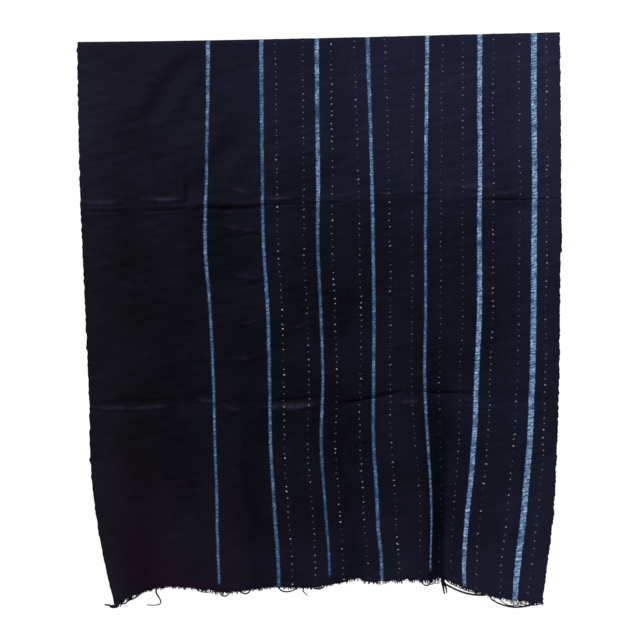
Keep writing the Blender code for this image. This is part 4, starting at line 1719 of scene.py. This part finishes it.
FRONT_LOOSE_THREADS = (
    Thread(8, ((4, -14), (0, -4), (-5, 1), (-12, 2), (-20, 0), (-28, -1)), 2.3),
    Thread(5, ((0, -8), (-1, 2), (-6, 4), (-14, 3)), 2.2),
    Thread(13, ((0, -4), (-2, 4), (-7, 8)), 1.6),
    Thread(20, ((0, -2), (-1, 5), (-4, 10)), 1.2),
    Thread(114, ((0, -3), (-1, 7), (1, 14), (6, 22), (9, 29), (7, 35), (-3, 38), (-22, 37)), 1.45),
    Thread(158, ((0, -2), (1, 4)), 0.7),
    Thread(173, ((0, -2), (2, 4)), 0.7),
    Thread(186, ((0, -2), (-1, 4)), 0.7),
    Thread(482, ((0, -3), (-2, 6), (1, 11), (8, 18)), 1.3),
    Thread(783, ((0, -5), (2, 2), (0, 5)), 0.6),
    Thread(800, ((0, -8), (5, -2), (4, 5), (9, 6)), 0.6),
    Thread(812, ((0, -8), (-4, -1), (0, 6)), 0.6),
    Thread(826, ((0, -6), (1, 8), (3, 20), (5, 33)), 2.3),
    Thread(830, ((0, -6), (3, 9), (7, 20), (8, 31)), 2.0),
    Thread(962, ((0, -4), (2, 6), (6, 11), (12, 8)), 0.9),
    Thread(1020, ((0, -6), (4, 2), (9, 5), (16, 2)), 0.7),
    Thread(1034, ((0, -8), (-5, -1), (-3, 5), (3, 7)), 0.6),
    Thread(1042, ((0, -8), (-3, 0), (3, 5), (9, 3)), 0.6),
)


@dataclass(frozen=True)
class Studio:
    """The camera at the photograph's angle, plain soft light and a plain pale floor."""

    camera_place: Point = (-0.0084, -3.012, -0.6315)
    camera_roll: float = math.radians(-1.0675)
    lens: float = 75.5
    floor_drop: float = 1.75
    floor_radius: float = 1.35
    white: Colour = (1.0, 1.0, 1.0, 1.0)
    floor_colour: Colour = (0.92, 0.92, 0.92, 1.0)
    world_light: float = 0.18
    world_seen: float = 1.05
    lamps: tuple[tuple[str, Point, Point, float, float], ...] = (
        ("key", (-2.4, -4.2, 4.0), (0.05, 0, -0.6), 1.2, 600.0),
        ("front", (0.6, -3.6, -1.5), (0, 0, -0.9), 1.6, 30.0),
        ("behind", (-0.6, 2.6, 0.6), (0, 0, -0.5), 1.6, 60.0),
    )

    def camera(self) -> None:
        """Makes the camera, which looks level along +Y and is turned a little about its own line of sight."""
        data = bpy.data.cameras.new("camera")
        data.lens = self.lens
        data.sensor_width = 36.0
        made = added("camera", data)
        made.location = self.camera_place
        made.rotation_mode = "QUATERNION"
        level = Vector((0, 1, 0)).to_track_quat("-Z", "Y")
        made.rotation_quaternion = level @ Quaternion((0, 0, 1), self.camera_roll)
        bpy.context.scene.camera = made

    def lamp(self, name: str, place: Point, aim: Point, size: float, power: float) -> None:
        """Adds a square soft light.

        Args:
            name: Its name.
            place: Where it stands.
            aim: The point that it faces.
            size: Its side, in metres.
            power: Its power, in watts.
        """
        data = bpy.data.lights.new(name, "AREA")
        data.size = size
        data.energy = power
        made = added(name, data)
        made.location = place
        made.rotation_mode = "QUATERNION"
        made.rotation_quaternion = (Vector(aim) - Vector(place)).to_track_quat("-Z", "Y")

    def world(self) -> None:
        """Makes the surroundings white to the eye, and dimmer as light on the cloth."""
        world = bpy.data.worlds.new("studio")
        bpy.context.scene.world = world
        world.use_nodes = True
        tree = world.node_tree
        background = tree.nodes["Background"]
        background.inputs["Color"].default_value = self.white
        seen = tree.nodes.new("ShaderNodeLightPath").outputs["Is Camera Ray"]
        strength = tree.nodes.new("ShaderNodeMapRange")
        strength.inputs["To Min"].default_value = self.world_light
        strength.inputs["To Max"].default_value = self.world_seen
        tree.links.new(seen, strength.inputs["Value"])
        tree.links.new(strength.outputs["Result"], background.inputs["Strength"])

    def floor(self) -> None:
        """Makes the floor, a plain pale disc."""
        bpy.ops.object.select_all(action="DESELECT")
        bpy.ops.mesh.primitive_circle_add(
            vertices=96, radius=self.floor_radius, fill_type="NGON", location=(0, 0, -self.floor_drop)
        )
        made = bpy.context.object
        made.name = "floor"
        graph = Graph("pale_floor", 0.9)
        graph.shader.inputs["Base Color"].default_value = self.floor_colour
        made.data.materials.append(graph.material)

    def build(self) -> None:
        """Builds the studio."""
        self.camera()
        for lamp in self.lamps:
            self.lamp(*lamp)
        self.world()
        self.floor()
        bpy.context.scene.view_settings.view_transform = "Standard"


def main() -> None:
    """Builds the studio and the cloth, logging each cloth piece's triangle count."""
    logging.basicConfig(level=logging.INFO, format="%(name)s: %(message)s")
    Studio().build()
    surface = HangingCloth()
    plain = IndigoFinish().material("plain_indigo")
    striped = StripedFinish()
    stripes = {stripe.strip: stripe for stripe in STRIPES}
    for number in range(1, STRIP_COUNT + 1):
        stripe = stripes.get(number)
        material = plain if stripe is None else striped.material(f"striped_indigo_{number}", stripe)
        ClothStrip(number, surface, stripe).build(material)
    indigo_yarn, sewing_yarn, pale_yarn = (finish.material(name) for name, finish in YARNS.items())
    on_cloth = [SeamStitches(surface).build(sewing_yarn), PaleFibres(surface).build(pale_yarn)]
    front = FrayedHem(Hem.FRONT, surface, FRONT_FRAYED, FRONT_LOOSE_THREADS, FRONT_LOOPS)
    back = FrayedHem(Hem.BACK, surface, BACK_FRAYED)
    on_cloth += front.build(indigo_yarn) + back.build(indigo_yarn)


if __name__ == "__main__":
    main()
